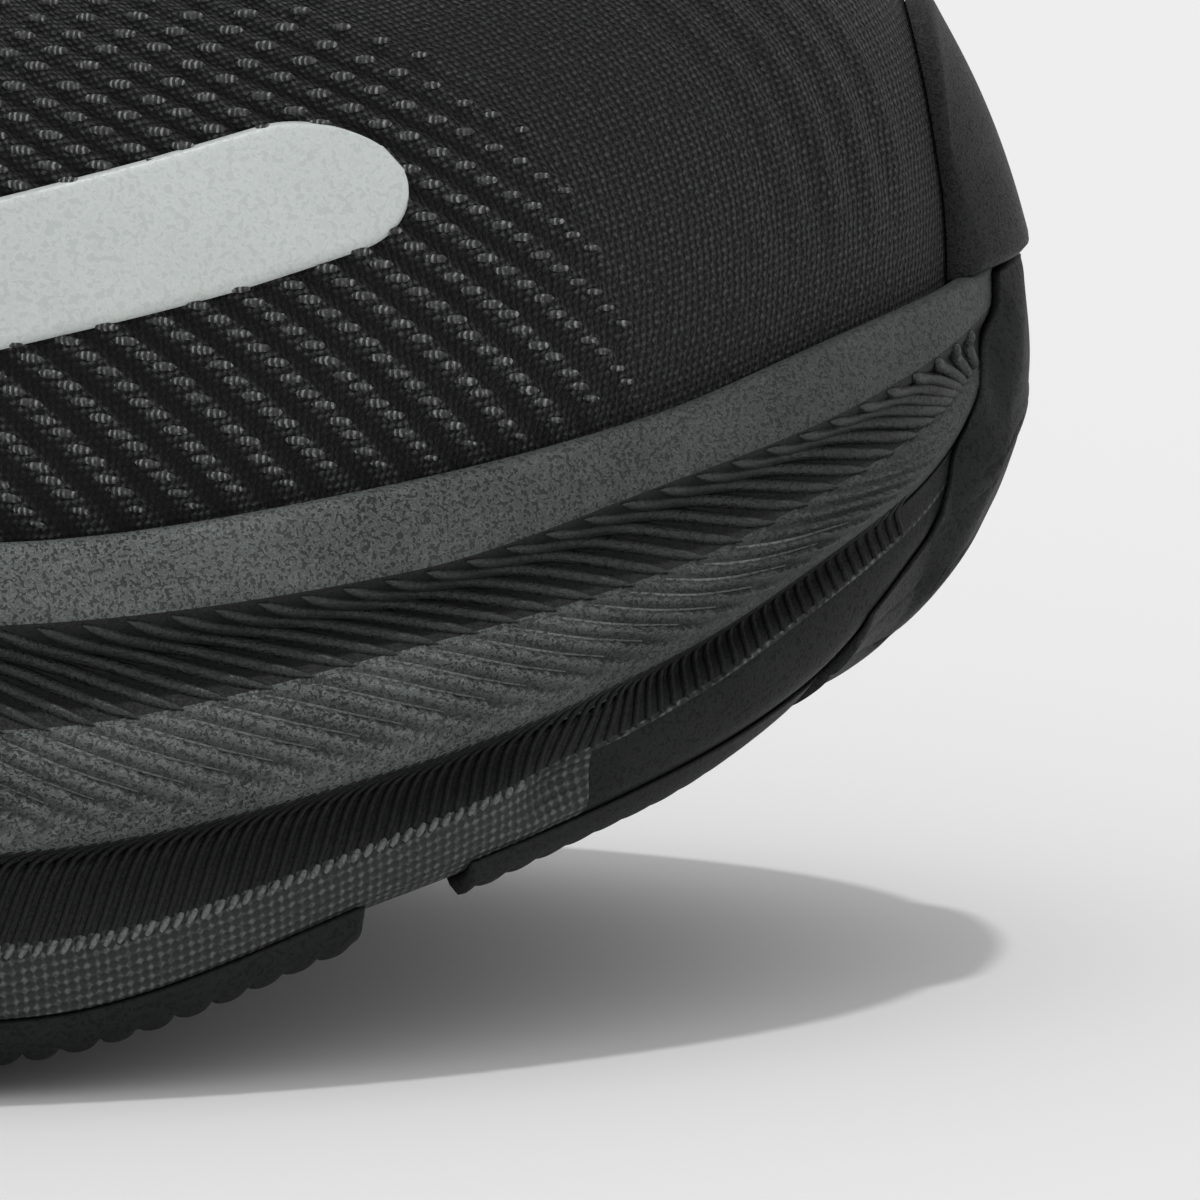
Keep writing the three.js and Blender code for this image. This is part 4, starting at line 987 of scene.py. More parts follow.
@dataclass
class Midsole:
    """Foam of the sole: a lip round the upper, ribbed channel, stepped ridge, finned groove and wall."""

    around: int = 1800
    lip_round: float = 0.9
    rib_pitch: float = 3.2
    rib_angle: float = 25.0
    rib_radius: float = 0.56
    scale_depth: float = 0.85
    fin_pitch: float = 1.0
    fin_radius: float = 0.27
    rubber_from: float = 54.0
    joint: float = 0.3
    stations: np.ndarray = field(init=False)

    def __post_init__(self) -> None:
        """Spreads the stations evenly round the outline, from the heel."""
        s = FORM.girth / 2 + np.arange(self.around) * FORM.girth / self.around
        self.stations = FORM.at_arc(s)

    def skin(self, t: np.ndarray, level: np.ndarray) -> np.ndarray:
        """Point of the sole's side with its stepped scales and the pinch in its groove."""
        t, level = np.broadcast_arrays(np.asarray(t, float), np.asarray(level, float))
        p = FORM.sole(t, level)
        s = toe_distance(t)
        rise = (3 - level) * 3.6 / math.tan(math.radians(self.rib_angle))
        phase = (s - rise) / self.rib_pitch
        step = 1 - (phase - np.floor(phase))
        near_toe = smooth(s, 14, 34)
        share = smooth(level, 2.85, 3.05) * (1 - smooth(level, 3.9, 5.0)) * near_toe
        out = self.scale_depth * share * (step**1.5 - 0.35)
        pinch = np.exp(-(((s - self.rubber_from) / 5.0) ** 2)) * np.exp(-(((level - 6.1) / 0.5) ** 2))
        notch = np.exp(-(((s - self.rubber_from - 3) / 3.2) ** 2)) * np.exp(-(((level - 7.35) / 0.5) ** 2))
        out = out + 1.5 * pinch - 1.6 * notch
        return p + FORM.outward(t) * out[..., None]

    def shade(self, level: np.ndarray) -> np.ndarray:
        """Painted light and shade of the sole's side: each ridge step starts with a painted highlight and
        darkens towards the next one's edge; the lip and ridge are painted darker towards the toe, the lip's
        top lighter and the rows above the groove darker.
        """
        t, level = np.meshgrid(self.stations, level)
        s = toe_distance(t)
        phase = (s - (3 - level) * 3.6 / math.tan(math.radians(self.rib_angle))) / self.rib_pitch
        step = 1 - (phase - np.floor(phase))
        share = smooth(level, 2.8, 3.0) * (1 - smooth(level, 4.2, 5.4)) * smooth(s, 14, 34)
        # Painted highlight at each step's start, painted shade towards the next step.
        stepped = 0.25 + 1.5 * step**2
        # Painted shade on the lip towards the toe and a painted highlight on its top; the rest is painted
        # darker towards the toe.
        lip = 0.38 + 0.62 * smooth(s, 25, 110) + 0.25 * (1 - smooth(level, 0.1, 0.5)) * smooth(s, 30, 95)
        fade = np.where(level < 1.5, lip, 0.35 + 0.65 * smooth(s, 36, 74))
        return fade * (1 + share * (stepped - 1) - 0.45 * smooth(level, 5.2, 6))

    def mapped(self, rings: np.ndarray) -> np.ndarray:
        """Surface map of rings: distance from the toe, and distance down the section."""
        down = run_along(rings, 0)
        return np.stack([np.broadcast_to(toe_distance(self.stations), down.shape), down], -1)

    def carrier(self) -> bpy.types.Object:
        """Upper foam: the footbed's wall, the rounded lip, the channel's floor and the ridge."""
        t = self.stations
        x = FORM.x(t)
        inner = FORM.foot_inset(x) - FORM.knit / 2 - FORM.gap
        top = FORM.lip_top(t)
        low_in, low_out = FORM.plan(t, inner, top - self.lip_round), self.skin(t, np.full(len(t), 0.17))
        high_in, high_out = FORM.plan(t, inner, top + 0.15), low_out.copy()
        high_out[:, 2] = top + 0.1
        rings = [FORM.plan(t, inner, top - FORM.lip_depth)]
        for f in np.linspace(0, 1, 8):
            ends, middles = low_in * (1 - f) ** 3 + low_out * f**3, high_in * (1 - f) + high_out * f
            rings.append(ends + 3 * f * (1 - f) * middles)
        bands = ((0.17, 1, 7), (1, 2.85, 10), (2.85, 4.6, 21), (4.6, 6, 8))
        levels = np.concatenate([np.linspace(*band)[1:] for band in bands])
        rings += [self.skin(t, np.full(len(t), level)) for level in levels]
        rings[-1] = rings[-1] + np.array([0, 0, self.joint])
        stack = np.stack(rings)
        shade = self.shade(np.concatenate([np.zeros(9), levels]))
        obj = ring_solid("midsole_carrier_skin", stack, self.mapped(stack), shade)
        return self.shaded(obj, stack.shape[1], 8 + 6, 8 + 6 + 9)

    def shaded(self, obj: bpy.types.Object, around: int, first: int, last: int) -> bpy.types.Object:
        """Dresses the carrier: lighter skin, with the channel between two rows of rings in the darker foam
        copy, which is painted shade.
        """
        dress(obj, FOAM)
        obj.data.materials.append(FOAM_PAINTED_SHADE.material())
        rows = np.arange(len(obj.data.polygons)) // around
        index = np.where((rows >= first) & (rows < last), 1, 0)
        obj.data.polygons.foreach_set("material_index", index.astype(np.int32))
        return obj

    def base(self) -> bpy.types.Object:
        """Lower foam: the finned groove in the darker foam copy as painted shade, its lower edge, the knurled
        wall and the underside.
        """
        t = self.stations
        levels = np.concatenate(
            [np.linspace(6, 7, 9), np.linspace(7, 7.5, 5)[1:], np.linspace(7.5, 11, 22)[1:]]
        )
        stack = np.stack([self.skin(t, np.full(len(t), level)) for level in levels])
        obj = dress(ring_solid("midsole_base_skin", stack, self.mapped(stack)), FOAM_KNURLED)
        obj.data.materials.append(FOAM_PAINTED_SHADE.material())
        obj.data.materials.append(RUBBER.material())
        # Rows of the groove take the darker foam copy, painted shade; the wall before the notch takes the
        # tread rubber.
        rows, column = np.divmod(np.arange(len(obj.data.polygons)), len(t))
        front = (rows >= 8) & (toe_distance(t[column]) < self.rubber_from)
        obj.data.polygons.foreach_set(
            "material_index", np.where(rows < 7, 1, np.where(front, 2, 0)).astype(np.int32),
        )
        return obj

    def slanted(
        self, pitch: float, high: float, low: float, lean: Callable[[np.ndarray], np.ndarray],
        steps: int, first: float,
    ) -> np.ndarray:
        """Slanting lines across a band of the sole's side, on both sides of the shoe.

        Args:
            pitch: distance between lines along the band.
            high: level where a line starts.
            low: level where it ends.
            lean: how far the end lies towards the toe from the start, for a distance from the toe.
            steps: points along a line.
            first: distance from the toe where the lines begin.
        """
        count = int((FORM.girth / 2 - first) / pitch)
        start = pitch * (math.ceil(first / pitch) + np.arange(count))
        share = np.linspace(0, 1, steps)
        s = np.clip(start[:, None] - lean(start)[:, None] * share[None], 0.5, FORM.girth / 2 - 0.5)
        level = high + (low - high) * share[None] + 0 * s
        sides = [FORM.at_arc(s), FORM.at_arc(FORM.girth - s)]
        points = [self.skin(t, level) for t in sides]
        return np.concatenate(points)

    def ribs(self) -> bpy.types.Object:
        """Long rounded bars that slant across the channel, in a darker foam copy as painted shade."""
        reach = 7.8 / math.tan(math.radians(self.rib_angle))
        lean = lambda s: reach * smooth(s, 6, 40)
        lines = self.slanted(self.rib_pitch, 1.08, 2.9, lean, 22, 11)
        share = np.linspace(0, 1, 22)
        thick = np.sqrt(np.clip(1 - np.abs(2 * share - 1) ** 4, 0.01, 1))
        return grown(line_object("ribs", lines, thick), BARS, {
            "Radius": self.rib_radius * MM, "Sides": 8, "Finish": FOAM_RIB_PAINTED_SHADE.material(),
        }, "midsole_ribs")

    def fins(self) -> bpy.types.Object:
        """Fine steep fins across the lower groove, in the darker foam copy as painted shade; the ticks put
        painted highlights on their ends.
        """
        lean = lambda s: -6.5 / np.tan(np.radians(52 + 38 * (1 - smooth(s, 15, 70))))
        lines = self.slanted(self.fin_pitch, 5.25, 6.9, lean, 8, 24)
        thick = np.array([0.35, 0.8, 0.9, 0.9, 0.95, 1, 1, 0.9])
        return grown(line_object("fins", lines, thick), BARS, {
            "Radius": self.fin_radius * MM, "Sides": 6, "Finish": FOAM_PAINTED_SHADE.material(),
        }, "midsole_fins")

    def ticks(self) -> bpy.types.Object:
        """Ends of the fins along the groove's lower edge, in a lighter foam copy as painted highlight."""
        lean = lambda s: -0.9 / np.tan(np.radians(52 + 38 * (1 - smooth(s, 15, 70))))
        lines = self.slanted(self.fin_pitch, 6.88, 7.08, lean, 4, self.rubber_from + 6)
        return grown(line_object("ticks", lines, np.array([0.6, 1, 1, 0.6])), BARS, {
            "Radius": self.fin_radius * 0.95 * MM, "Sides": 6, "Finish": FOAM_PAINTED_HIGHLIGHT.material(),
        }, "midsole_fin_ends")

    def edges(self) -> bpy.types.Object:
        """Edges of the ridge's overlapping steps, in a lighter foam copy as painted highlight, fading
        downwards.
        """
        reach = 4.6 / math.tan(math.radians(self.rib_angle))
        lean = lambda s: reach * smooth(s, 14, 40)
        lines = self.slanted(self.rib_pitch, 2.98, 4.2, lean, 16, 40)
        thick = np.linspace(1, 0.25, 16) * np.minimum(1, np.linspace(0.4, 4, 16))
        return grown(line_object("edges", lines, thick), BARS, {
            "Radius": 0.24 * MM, "Sides": 6, "Finish": FOAM_PAINTED_HIGHLIGHT.material(),
        }, "midsole_step_edges")

    def build(self) -> None:
        """Builds the foam and hands it over."""
        settle(self.carrier(), "shoe", ["midsole_carrier"])
        settle(self.base(), "shoe", ["midsole_base"])
        settle(self.ribs(), "shoe")
        settle(self.fins(), "shoe")
        settle(self.ticks(), "shoe")
        settle(self.edges(), "shoe")


@dataclass(frozen=True)
class Pad:
    """Extent of an outsole pad: round the shoe, and from the wall, 0, past the bottom's edge, 1, inwards."""

    t0: float
    t1: float
    s0: float
    s1: float
    reach: float
    wraps: bool = False


PADS = {
    "toe": Pad(-0.075, 0.075, 0.02, 0.75, 0, True),
    "front_lateral": Pad(0.082, 0.146, 0.35, 3, 11),
    "front_medial": Pad(-0.146, -0.082, 0.35, 3, 11),
    "ball_lateral": Pad(0.16, 0.285, 0.35, 3, 11),
    "ball_medial": Pad(-0.285, -0.16, 0.35, 3, 11),
    "heel_lateral": Pad(0.33, 0.438, 0.35, 3, 7.5),
    "heel_medial": Pad(-0.438, -0.33, 0.35, 3, 7.5),
    "heel_rear": Pad(0.45, 0.55, 0.35, 1, 0),
}


@dataclass
class Outsole:
    """Rubber pads under the foam, with scalloped lugs along their edges."""

    seat: float = 0.4
    rubber: float = 2.5
    lug: float = 1.4
    lug_pitch: float = 2.7
    apart: float = 2.0
    step: float = 0.34

    def underside(self, t: np.ndarray, s: np.ndarray, pad: Pad) -> np.ndarray:
        """Point of the foam's underside, from the wall at s 0 round to the bottom and inwards."""
        t, s = np.broadcast_arrays(np.asarray(t, float), np.asarray(s, float))
        side = FORM.sole(t, WALL_FOOT + (BOTTOM - WALL_FOOT) * np.clip(s, 0, 1))
        if pad.wraps:
            side = np.where((s < 0)[..., None], self.front(t, s, pad), side)
        edge = FORM.sole(t, np.full(t.shape, BOTTOM))
        across = FORM.sole(1 - t % 1, np.full(t.shape, BOTTOM)) - edge
        length = np.linalg.norm(across, axis=-1)
        far = np.minimum((s - 1) * pad.reach, (length / 2 - self.apart) * (s - 1) / 2)
        return side + unit(across) * np.maximum(far, 0)[..., None]

    def front(self, t: np.ndarray, s: np.ndarray, pad: Pad) -> np.ndarray:
        """Point of the rubber's smooth front, which bridges the foam's channel and groove over the tip."""
        top = np.minimum(self.top_edge(toe_distance(t), pad), -0.02)
        f = np.clip(1 - s / top, 0, 1)[..., None]
        a = FORM.sole(t, WALL_FOOT + (BOTTOM - WALL_FOOT) * top)
        b = FORM.sole(t, np.full(t.shape, WALL_FOOT))
        length = np.linalg.norm(b - a, axis=-1, keepdims=True)
        down = unit(FORM.sole(t, np.full(t.shape, WALL_FOOT + 0.4)) - b) * length
        drop = np.array([0, 0, -1.0]) * length
        bend = (f**3 - 2 * f * f + f) * drop + (f**3 - f * f) * down
        return (1 - 3 * f * f + 2 * f**3) * a + (3 * f * f - 2 * f**3) * b + bend

    def normal(self, t: np.ndarray, s: np.ndarray, pad: Pad) -> np.ndarray:
        """Outward normal of the underside."""
        along = self.underside(t + 0.003, s, pad) - self.underside(t - 0.003, s, pad)
        over = self.underside(t, s + 0.05, pad) - self.underside(t, s - 0.05, pad)
        return unit(np.cross(along, over))

    def lugs(self, t: np.ndarray, s: np.ndarray, pad: Pad) -> np.ndarray:
        """Share of the lugs' height: rounded scallops in rows, cut across by channels."""
        d = toe_distance(t)
        inwards = np.maximum(s - 1, 0) * 6
        phase = d / self.lug_pitch + 0.5 * np.floor(inwards / 3.4)
        f = phase - np.floor(phase)
        scallop = np.sqrt(np.clip(1 - (2 * f - 1) ** 2, 0, 1)) ** 0.8
        rows = np.where(inwards > 0.3, smooth(np.abs((inwards / 3.4) % 1 - 0.02), 0.06, 0.16), 1)
        if pad.wraps:
            f = (s * 4.4) % 1
            return 0.5 * np.sqrt(np.clip(1 - (2 * f - 1) ** 4, 0, 1)) * smooth(s, -0.6, -0.1)
        low = smooth(s, 0.62, 0.95)
        return scallop * rows * low

    def top_edge(self, d: np.ndarray, pad: Pad) -> np.ndarray:
        """Place s of a pad's top edge; the toe pad climbs to the lip at the tip."""
        if not pad.wraps:
            return np.full(d.shape, pad.s0)
        return np.interp(d, [0, 5, 15, 20, 24], [-2.64, -2.57, -0.83, pad.s0, pad.s0])

    def below_edge(self, t: np.ndarray, s: np.ndarray, pad: Pad) -> np.ndarray:
        """Distance in from a pad's top edge."""
        if not pad.wraps:
            return (s - pad.s0) * 14
        seam = np.interp(s, [-2.57, -0.83, 0], [6, 15, 20])
        return np.maximum(s - pad.s0, 0) * 14 + np.maximum(seam - toe_distance(t), 0) * 0.8

    def pad(self, name: str, pad: Pad) -> bpy.types.Object:
        """Builds a pad: rounded at its edges, with its lugs raised from its face."""
        length = abs(FORM.arc(pad.t1) - FORM.arc(pad.t0))
        length = min(length, FORM.girth - length)
        t = np.linspace(pad.t0, pad.t1, int(length / self.step) + 1)
        inner = 0 if pad.s1 <= 1 else 34
        wall = 60 if pad.wraps else 20
        share = np.concatenate([np.linspace(0, 1, wall), np.linspace(1, 2, inner + 1)[1:]])
        tt, share = np.meshgrid(t, share, indexing="ij")
        top, turn = self.top_edge(toe_distance(tt), pad), min(pad.s1, 1)
        ss = top + (turn - top) * np.minimum(share, 1) + (pad.s1 - turn) * np.maximum(share - 1, 0)
        face = self.underside(tt, ss, pad)
        out = self.normal(tt, ss, pad)
        ends = np.minimum(tt - pad.t0, pad.t1 - tt) * FORM.girth
        down = self.below_edge(tt, ss, pad)
        edge = np.sqrt(
            np.clip(1 - (1 - np.clip(np.minimum(ends, (pad.s1 - ss) * 12) / 0.8, 0, 1)) ** 2, 0, 1)
        )
        body = 0.06 + 0.94 * smooth(down, -1, 6)
        side = np.minimum(tt % 1, 1 - tt % 1)
        if pad.wraps:
            thin = 0.25 + 0.49 * (1 - smooth(side, 0.045, 0.072))
        else:
            thin = 0.3 + 0.28 * smooth(side, 0.146, 0.162) + 0.42 * smooth(side, 0.162, 0.25)
        lugs = self.lug * self.lugs(tt, ss, pad) * edge * (0.45 + 0.55 * smooth(side, 0.15, 0.24))
        rise = self.seat * 0.6 + thin * self.rubber * (0.5 + 0.5 * edge) * body + lugs * body
        top, under = face + out * rise[..., None], face + out * (self.seat * 0.3)
        loops = np.concatenate([top, under[:, ::-1]], axis=1)
        uv = np.stack([toe_distance(tt), ss * 6], -1)
        return dress(
            loop_solid(f"outsole_{name}_rubber", loops, np.concatenate([uv, uv[:, ::-1]], axis=1)), RUBBER,
        )

    def build(self) -> None:
        """Builds every pad and hands it over."""
        for name, pad in PADS.items():
            settle(self.pad(name, pad), "shoe", [f"outsole_{name}"])


# ------------------------------------------------------------------ upper
@dataclass
class Upper:
    """Knitted upper with its raised diagonal bands, stitches and fused overlays."""

    thick: float = 2.2
    around: int = 900
    rows: int = 88
    band_pitch: float = BAND_PITCH
    band_angle: float = BAND_ANGLE
    band_height: float = 0.62
    skin_gap: float = 0.3
    overlay: float = 0.8
    bumper: float = 1.5
    flare: float = 3.4

    def bands(self, p: np.ndarray, v: np.ndarray, s: np.ndarray) -> tuple[np.ndarray, np.ndarray]:
        """Phase of the diagonal bands and how strongly they show.

        Args:
            p: points of the surface.
            v: their place up the wall.
            s: their distance from the toe.
        """
        a = math.radians(self.band_angle)
        phase = (-s * math.sin(a) + p[..., 2] * math.cos(a)) / self.band_pitch
        front = smooth(s, 44, 56)
        crown = (1 - smooth(v, 0.5, 0.64)) * smooth(v, 0.1, 0.13)
        back = 1 - smooth(s, 285, 320)
        return phase, front * crown * back

    def folds(self, s: np.ndarray, v: np.ndarray) -> np.ndarray:
        """Soft upright folds where the toe box turns, beside the bumper."""
        side = smooth(s, 12, 18) * (1 - smooth(s, 26, 36)) * smooth(v, 0.12, 0.2) * (1 - smooth(v, 0.4, 0.6))
        return 0.22 * side * np.sin(s * 2 * math.pi / 4.2 + 9 * v)

    def knit(self) -> bpy.types.Object:
        """The upper's skin: a wall with an outer face in relief and a plain inner face."""
        s = FORM.girth / 2 + np.arange(self.around) * FORM.girth / self.around
        t = FORM.at_arc(s)
        v = np.linspace(0, 1, self.rows)
        tt, vv = np.meshgrid(t, v, indexing="ij")
        mid, normal, side = FORM.wall(tt, vv), FORM.wall_normal(tt, vv), toe_distance(tt)
        phase, strength = self.bands(mid, vv, side)
        wave = 0.5 + 0.5 * np.cos(2 * math.pi * phase)
        relief = self.band_height * strength * (wave**0.7 - 0.5) + self.folds(side, vv)
        relief *= 1 - smooth(vv, 0.93, 0.99)
        outer = mid + normal * (self.thick / 2 + relief)[..., None]
        few = np.linspace(1, 0, 9)
        ti, vi = np.meshgrid(t, few, indexing="ij")
        inner = FORM.upper(ti, vi, np.full(ti.shape, -self.thick / 2))
        end = FORM.wall(t, np.ones_like(t))
        rim = end + unit(end - FORM.wall(t, np.full_like(t, 0.97))) * 0.6
        loops = np.concatenate([outer, rim[:, None], inner], axis=1)
        rise = run_along(loops, 1)
        uv = np.stack([np.broadcast_to(toe_distance(t)[:, None], rise.shape), rise], -1)
        return dress(loop_solid("upper_knit_skin", loops, uv, closed=True), KNIT)

    def stitches(self) -> bpy.types.Object:
        """Raised stitches laid along each diagonal band, in a lighter copy of the black yarn as painted
        highlight.
        """
        a = math.radians(self.band_angle)
        spots = []
        for mirror in (False, True):
            s = np.arange(44, FORM.girth / 2 - 18, 0.35)
            t = FORM.at_arc(FORM.girth - s if mirror else s)
            v = np.linspace(0.105, 0.64, 150)
            tt, vv = np.meshgrid(t, v, indexing="ij")
            p = FORM.wall(tt, vv)
            spots.append(self.band_spots(p, tt, vv, s, a))
        p, t, v, size = (np.concatenate([spot[k] for spot in spots]) for k in range(4))
        normal = FORM.wall_normal(t, v)
        across = unit(FORM.wall(t + 0.002, v) - FORM.wall(t - 0.002, v))
        toeward = across * np.where(t < 0.5, -1, 1)[:, None]
        along = unit(toeward - 0.27 * np.array([0, 0, 1.0]))
        points = p + normal * (self.thick / 2 + self.band_height * 0.45)
        beads = bead_object("stitches", points, along, normal, size)
        return grown(beads, BEADS, {
            "Length": 1.9 * MM, "Width": 0.74 * MM, "Height": 0.62 * MM, "Sides": 6,
            "Finish": STITCH_PAINTED_HIGHLIGHT.material(),
        }, "knit_stitches")

    def band_spots(self, p: np.ndarray, t: np.ndarray, v: np.ndarray, s: np.ndarray, a: float) -> tuple:
        """Picks one grid place for each stitch: on a band's crest, at even steps along the band."""
        side = np.broadcast_to(s[:, None], v.shape)
        phase, strength = self.bands(p, v, side)
        run = (side * math.cos(a) + p[..., 2] * math.sin(a)) / 1.42
        band = np.round(phase)
        place = np.round(run)
        miss = np.hypot(phase - band, (run - place) * 0.6)
        keys = (band - band.min()) * 10000 + (place - place.min())
        order = np.argsort(miss.ravel(), kind="stable")
        _, first = np.unique(keys.ravel()[order], return_index=True)
        best = order[first]
        near = best[(miss.ravel()[best] < 0.16) & (strength.ravel()[best] > 0.18)]
        size = 0.55 + 0.45 * strength.ravel()[near]
        return p.reshape(-1, 3)[near], t.ravel()[near], v.ravel()[near], size

    def plate(
        self, name: str, t: np.ndarray, low: np.ndarray, high: np.ndarray, thick: np.ndarray,
        finish: Finish, rows: int = 40, round_edge: float = 0.8, seat: Optional[float] = None,
    ) -> bpy.types.Object:
        """Thin overlay on the upper with rounded edges.

        Args:
            name: the piece's name.
            t: stations along it.
            low: v of its lower edge at each station.
            high: v of its upper edge.
            thick: its thickness at each station, or at each station and row.
            finish: its finish.
            rows: points across it.
            round_edge: how far in the rounding reaches, in millimetres.
            seat: depth of its underside; a gap over the knit unless given.
        """
        base = self.thick / 2 + self.skin_gap if seat is None else seat
        share = np.linspace(0, 1, rows)
        tt = np.broadcast_to(t[:, None], (len(t), rows))
        vv = low[:, None] + (high - low)[:, None] * share[None]
        mid, normal = FORM.wall(tt, vv), FORM.wall_normal(tt, vv)
        up = run_along(mid, 1)
        along = run_along(mid, 0)
        inside = np.minimum(np.minimum(up, up[:, -1:] - up), np.minimum(along, along[-1:] - along))
        edge = np.sqrt(np.clip(1 - (1 - np.clip(inside / round_edge, 0, 1)) ** 2, 0, 1))
        thick = thick if thick.ndim == 2 else thick[:, None]
        top = mid + normal * (base + 0.04 + (thick - 0.04) * edge)[..., None]
        under = mid + normal * base
        uv = np.stack([toe_distance(tt), up], -1)
        loops = np.concatenate([top, under[:, ::-1]], axis=1)
        return dress(loop_solid(name, loops, np.concatenate([uv, uv[:, ::-1]], axis=1)), finish)

    def above_lip(self, t: np.ndarray) -> np.ndarray:
        """v just above the sole's lip."""
        return FORM.v_at_height(t, FORM.lip_top(t) + 1.5)

    def toe_bumper(self) -> bpy.types.Object:
        """Fused guard over the toe, highest in the middle."""
        reach = 0.03
        t = np.linspace(-reach * 0.97, reach * 0.97, 260)
        crown = np.sqrt(np.clip(1 - (t / reach) ** 2, 0, 1))
        low, high = self.above_lip(t) - 0.018, self.above_lip(t) + 0.03 + 0.15 * crown
        foot = np.clip(1 - np.linspace(0, 1, 46) / 0.85, 0, 1) ** 1.6
        flare = self.flare * (1 - smooth(toe_distance(t), 2, 16))[:, None] * foot[None]
        thick = self.bumper * (0.55 + 0.45 * crown)[:, None] + flare
        return self.plate("toe_bumper_film", t, low, high, thick, OVERLAY, 46, 1.6)

    def heel_clip(self) -> bpy.types.Object:
        """Outer cup that steadies the heel."""
        t = np.linspace(0.42, 0.58, 240)
        high = 0.56 - 1.6 * np.abs(0.5 - t)
        thick = np.full(len(t), 2 * self.overlay)
        return self.plate("heel_clip_shell", t, self.above_lip(t), high, thick, OVERLAY, 46, 1.6)

    def heel_patch(self) -> bpy.types.Object:
        """Small reflective patch over the heel."""
        t = np.linspace(0.485, 0.515, 60)
        low, high, thick = np.full(60, 0.62), np.full(60, 0.76), np.full(60, self.overlay)
        return self.plate("heel_patch_film", t, low, high, thick, FLASH, 30, 0.6)

    def strip(self, medial: bool) -> bpy.types.Object:
        """Plain reflective strip with round ends on the upper's side."""
        first, last = 0.137, 0.24
        side = first + (last - first) * (0.5 - 0.5 * np.cos(np.linspace(0, math.pi, 200)))
        t = 1 - side if medial else side
        z = 63 - 120 * (side - first)
        end = np.minimum(side - first, last - side) / 0.012
        blunt = np.sqrt(np.maximum(0.05, 1 - (1 - np.clip(end, 0, 1)) ** 2))
        middle = FORM.v_at_height(t, z)
        half = (FORM.v_at_height(t, np.full(200, 67.0)) - FORM.v_at_height(t, np.full(200, 59.0))) * blunt / 2
        name = "strip_medial_film" if medial else "strip_lateral_film"
        return self.plate(
            name, t, middle - half, middle + half, np.full(200, self.overlay / 2), FLASH, 24, 0.35,
        )

    def eyestay(self, medial: bool) -> bpy.types.Object:
        """Fused facing that carries the eyelets, along one side of the throat."""
        side = np.linspace(0.105, 0.335, 330)
        t = 1 - side if medial else side
        low, high = FORM.v_from_edge(t, 15.0), FORM.v_from_edge(t, 0.8)
        name = "eyestay_medial_film" if medial else "eyestay_lateral_film"
        return self.plate(name, t, low, high, np.full(330, self.overlay), OVERLAY, 40, 0.7)

    def build(self) -> None:
        """Builds the upper and hands it over."""
        settle(self.knit(), "shoe", ["upper_knit"])
        settle(self.stitches(), "shoe")
        settle(self.toe_bumper(), "shoe", ["toe_bumper"])
        settle(self.heel_clip(), "shoe", ["heel_clip"])
        settle(self.heel_patch(), "shoe", ["heel_patch"])
        settle(self.strip(False), "shoe", ["strip_lateral"])
        settle(self.strip(True), "shoe", ["strip_medial"])
        settle(self.eyestay(False), "shoe", ["eyestay_lateral"])
        settle(self.eyestay(True), "shoe", ["eyestay_medial"])


# ------------------------------------------------------------------ throat, lace and tongue
@dataclass
class Throat:
    """The throat's edge, its eyelet places and the tongue's line, which the lacing shares."""

    top: float = 8 / 24
    rows: int = 6
    first_x: float = 51.0
    pitch: float = 13.0
    edge: float = 7.5
    drop: float = 3.0
    tuck: float = 7.0
    rise: float = 26.0
    tongue_side: float = 2.0

    def __post_init__(self) -> None:
        """Finds the throat's ends and every eyelet's place."""
        self.front, self.back = FORM.opening(np.array(0.0)), FORM.opening(np.array(self.top))
        self.base_x = self.front[0] + self.tuck
        self.tip_x = self.back[0] - self.rise
        self.slope = (self.back[2] - self.front[2]) / (self.front[0] - self.back[0])
        self.fine_t = np.linspace(0, self.top + 0.02, 720)
        self.fine = FORM.opening(self.fine_t)
        self.lateral = [self.place(row, False) for row in range(self.rows)]
        self.medial = [self.place(row, True) for row in range(self.rows)]

    def at_x(self, x: np.ndarray) -> np.ndarray:
        """t where the lateral edge passes x."""
        return np.interp(-np.asarray(x, float), -self.fine[:, 0], self.fine_t)

    def place(self, row: int, medial: bool) -> tuple[float, float]:
        """t and v of an eyelet."""
        t = float(self.at_x(self.first_x - row * self.pitch))
        t = 1 - t if medial else t
        return t, float(FORM.v_from_edge(np.array([t]), self.edge)[0])

    def tongue_line(self, x: np.ndarray) -> np.ndarray:
        """Height of the tongue's face over the middle of the shoe."""
        x = np.asarray(x, float)
        edge = FORM.opening(self.at_x(np.minimum(x, self.front[0] - 6)))[..., 2] - self.drop
        past = self.back[2] - self.drop + (self.back[0] - x) * self.slope * 1.5
        line = np.where(x > self.back[0], edge, past)
        return line - 0.3 * np.maximum(x - (self.front[0] - 6), 0)


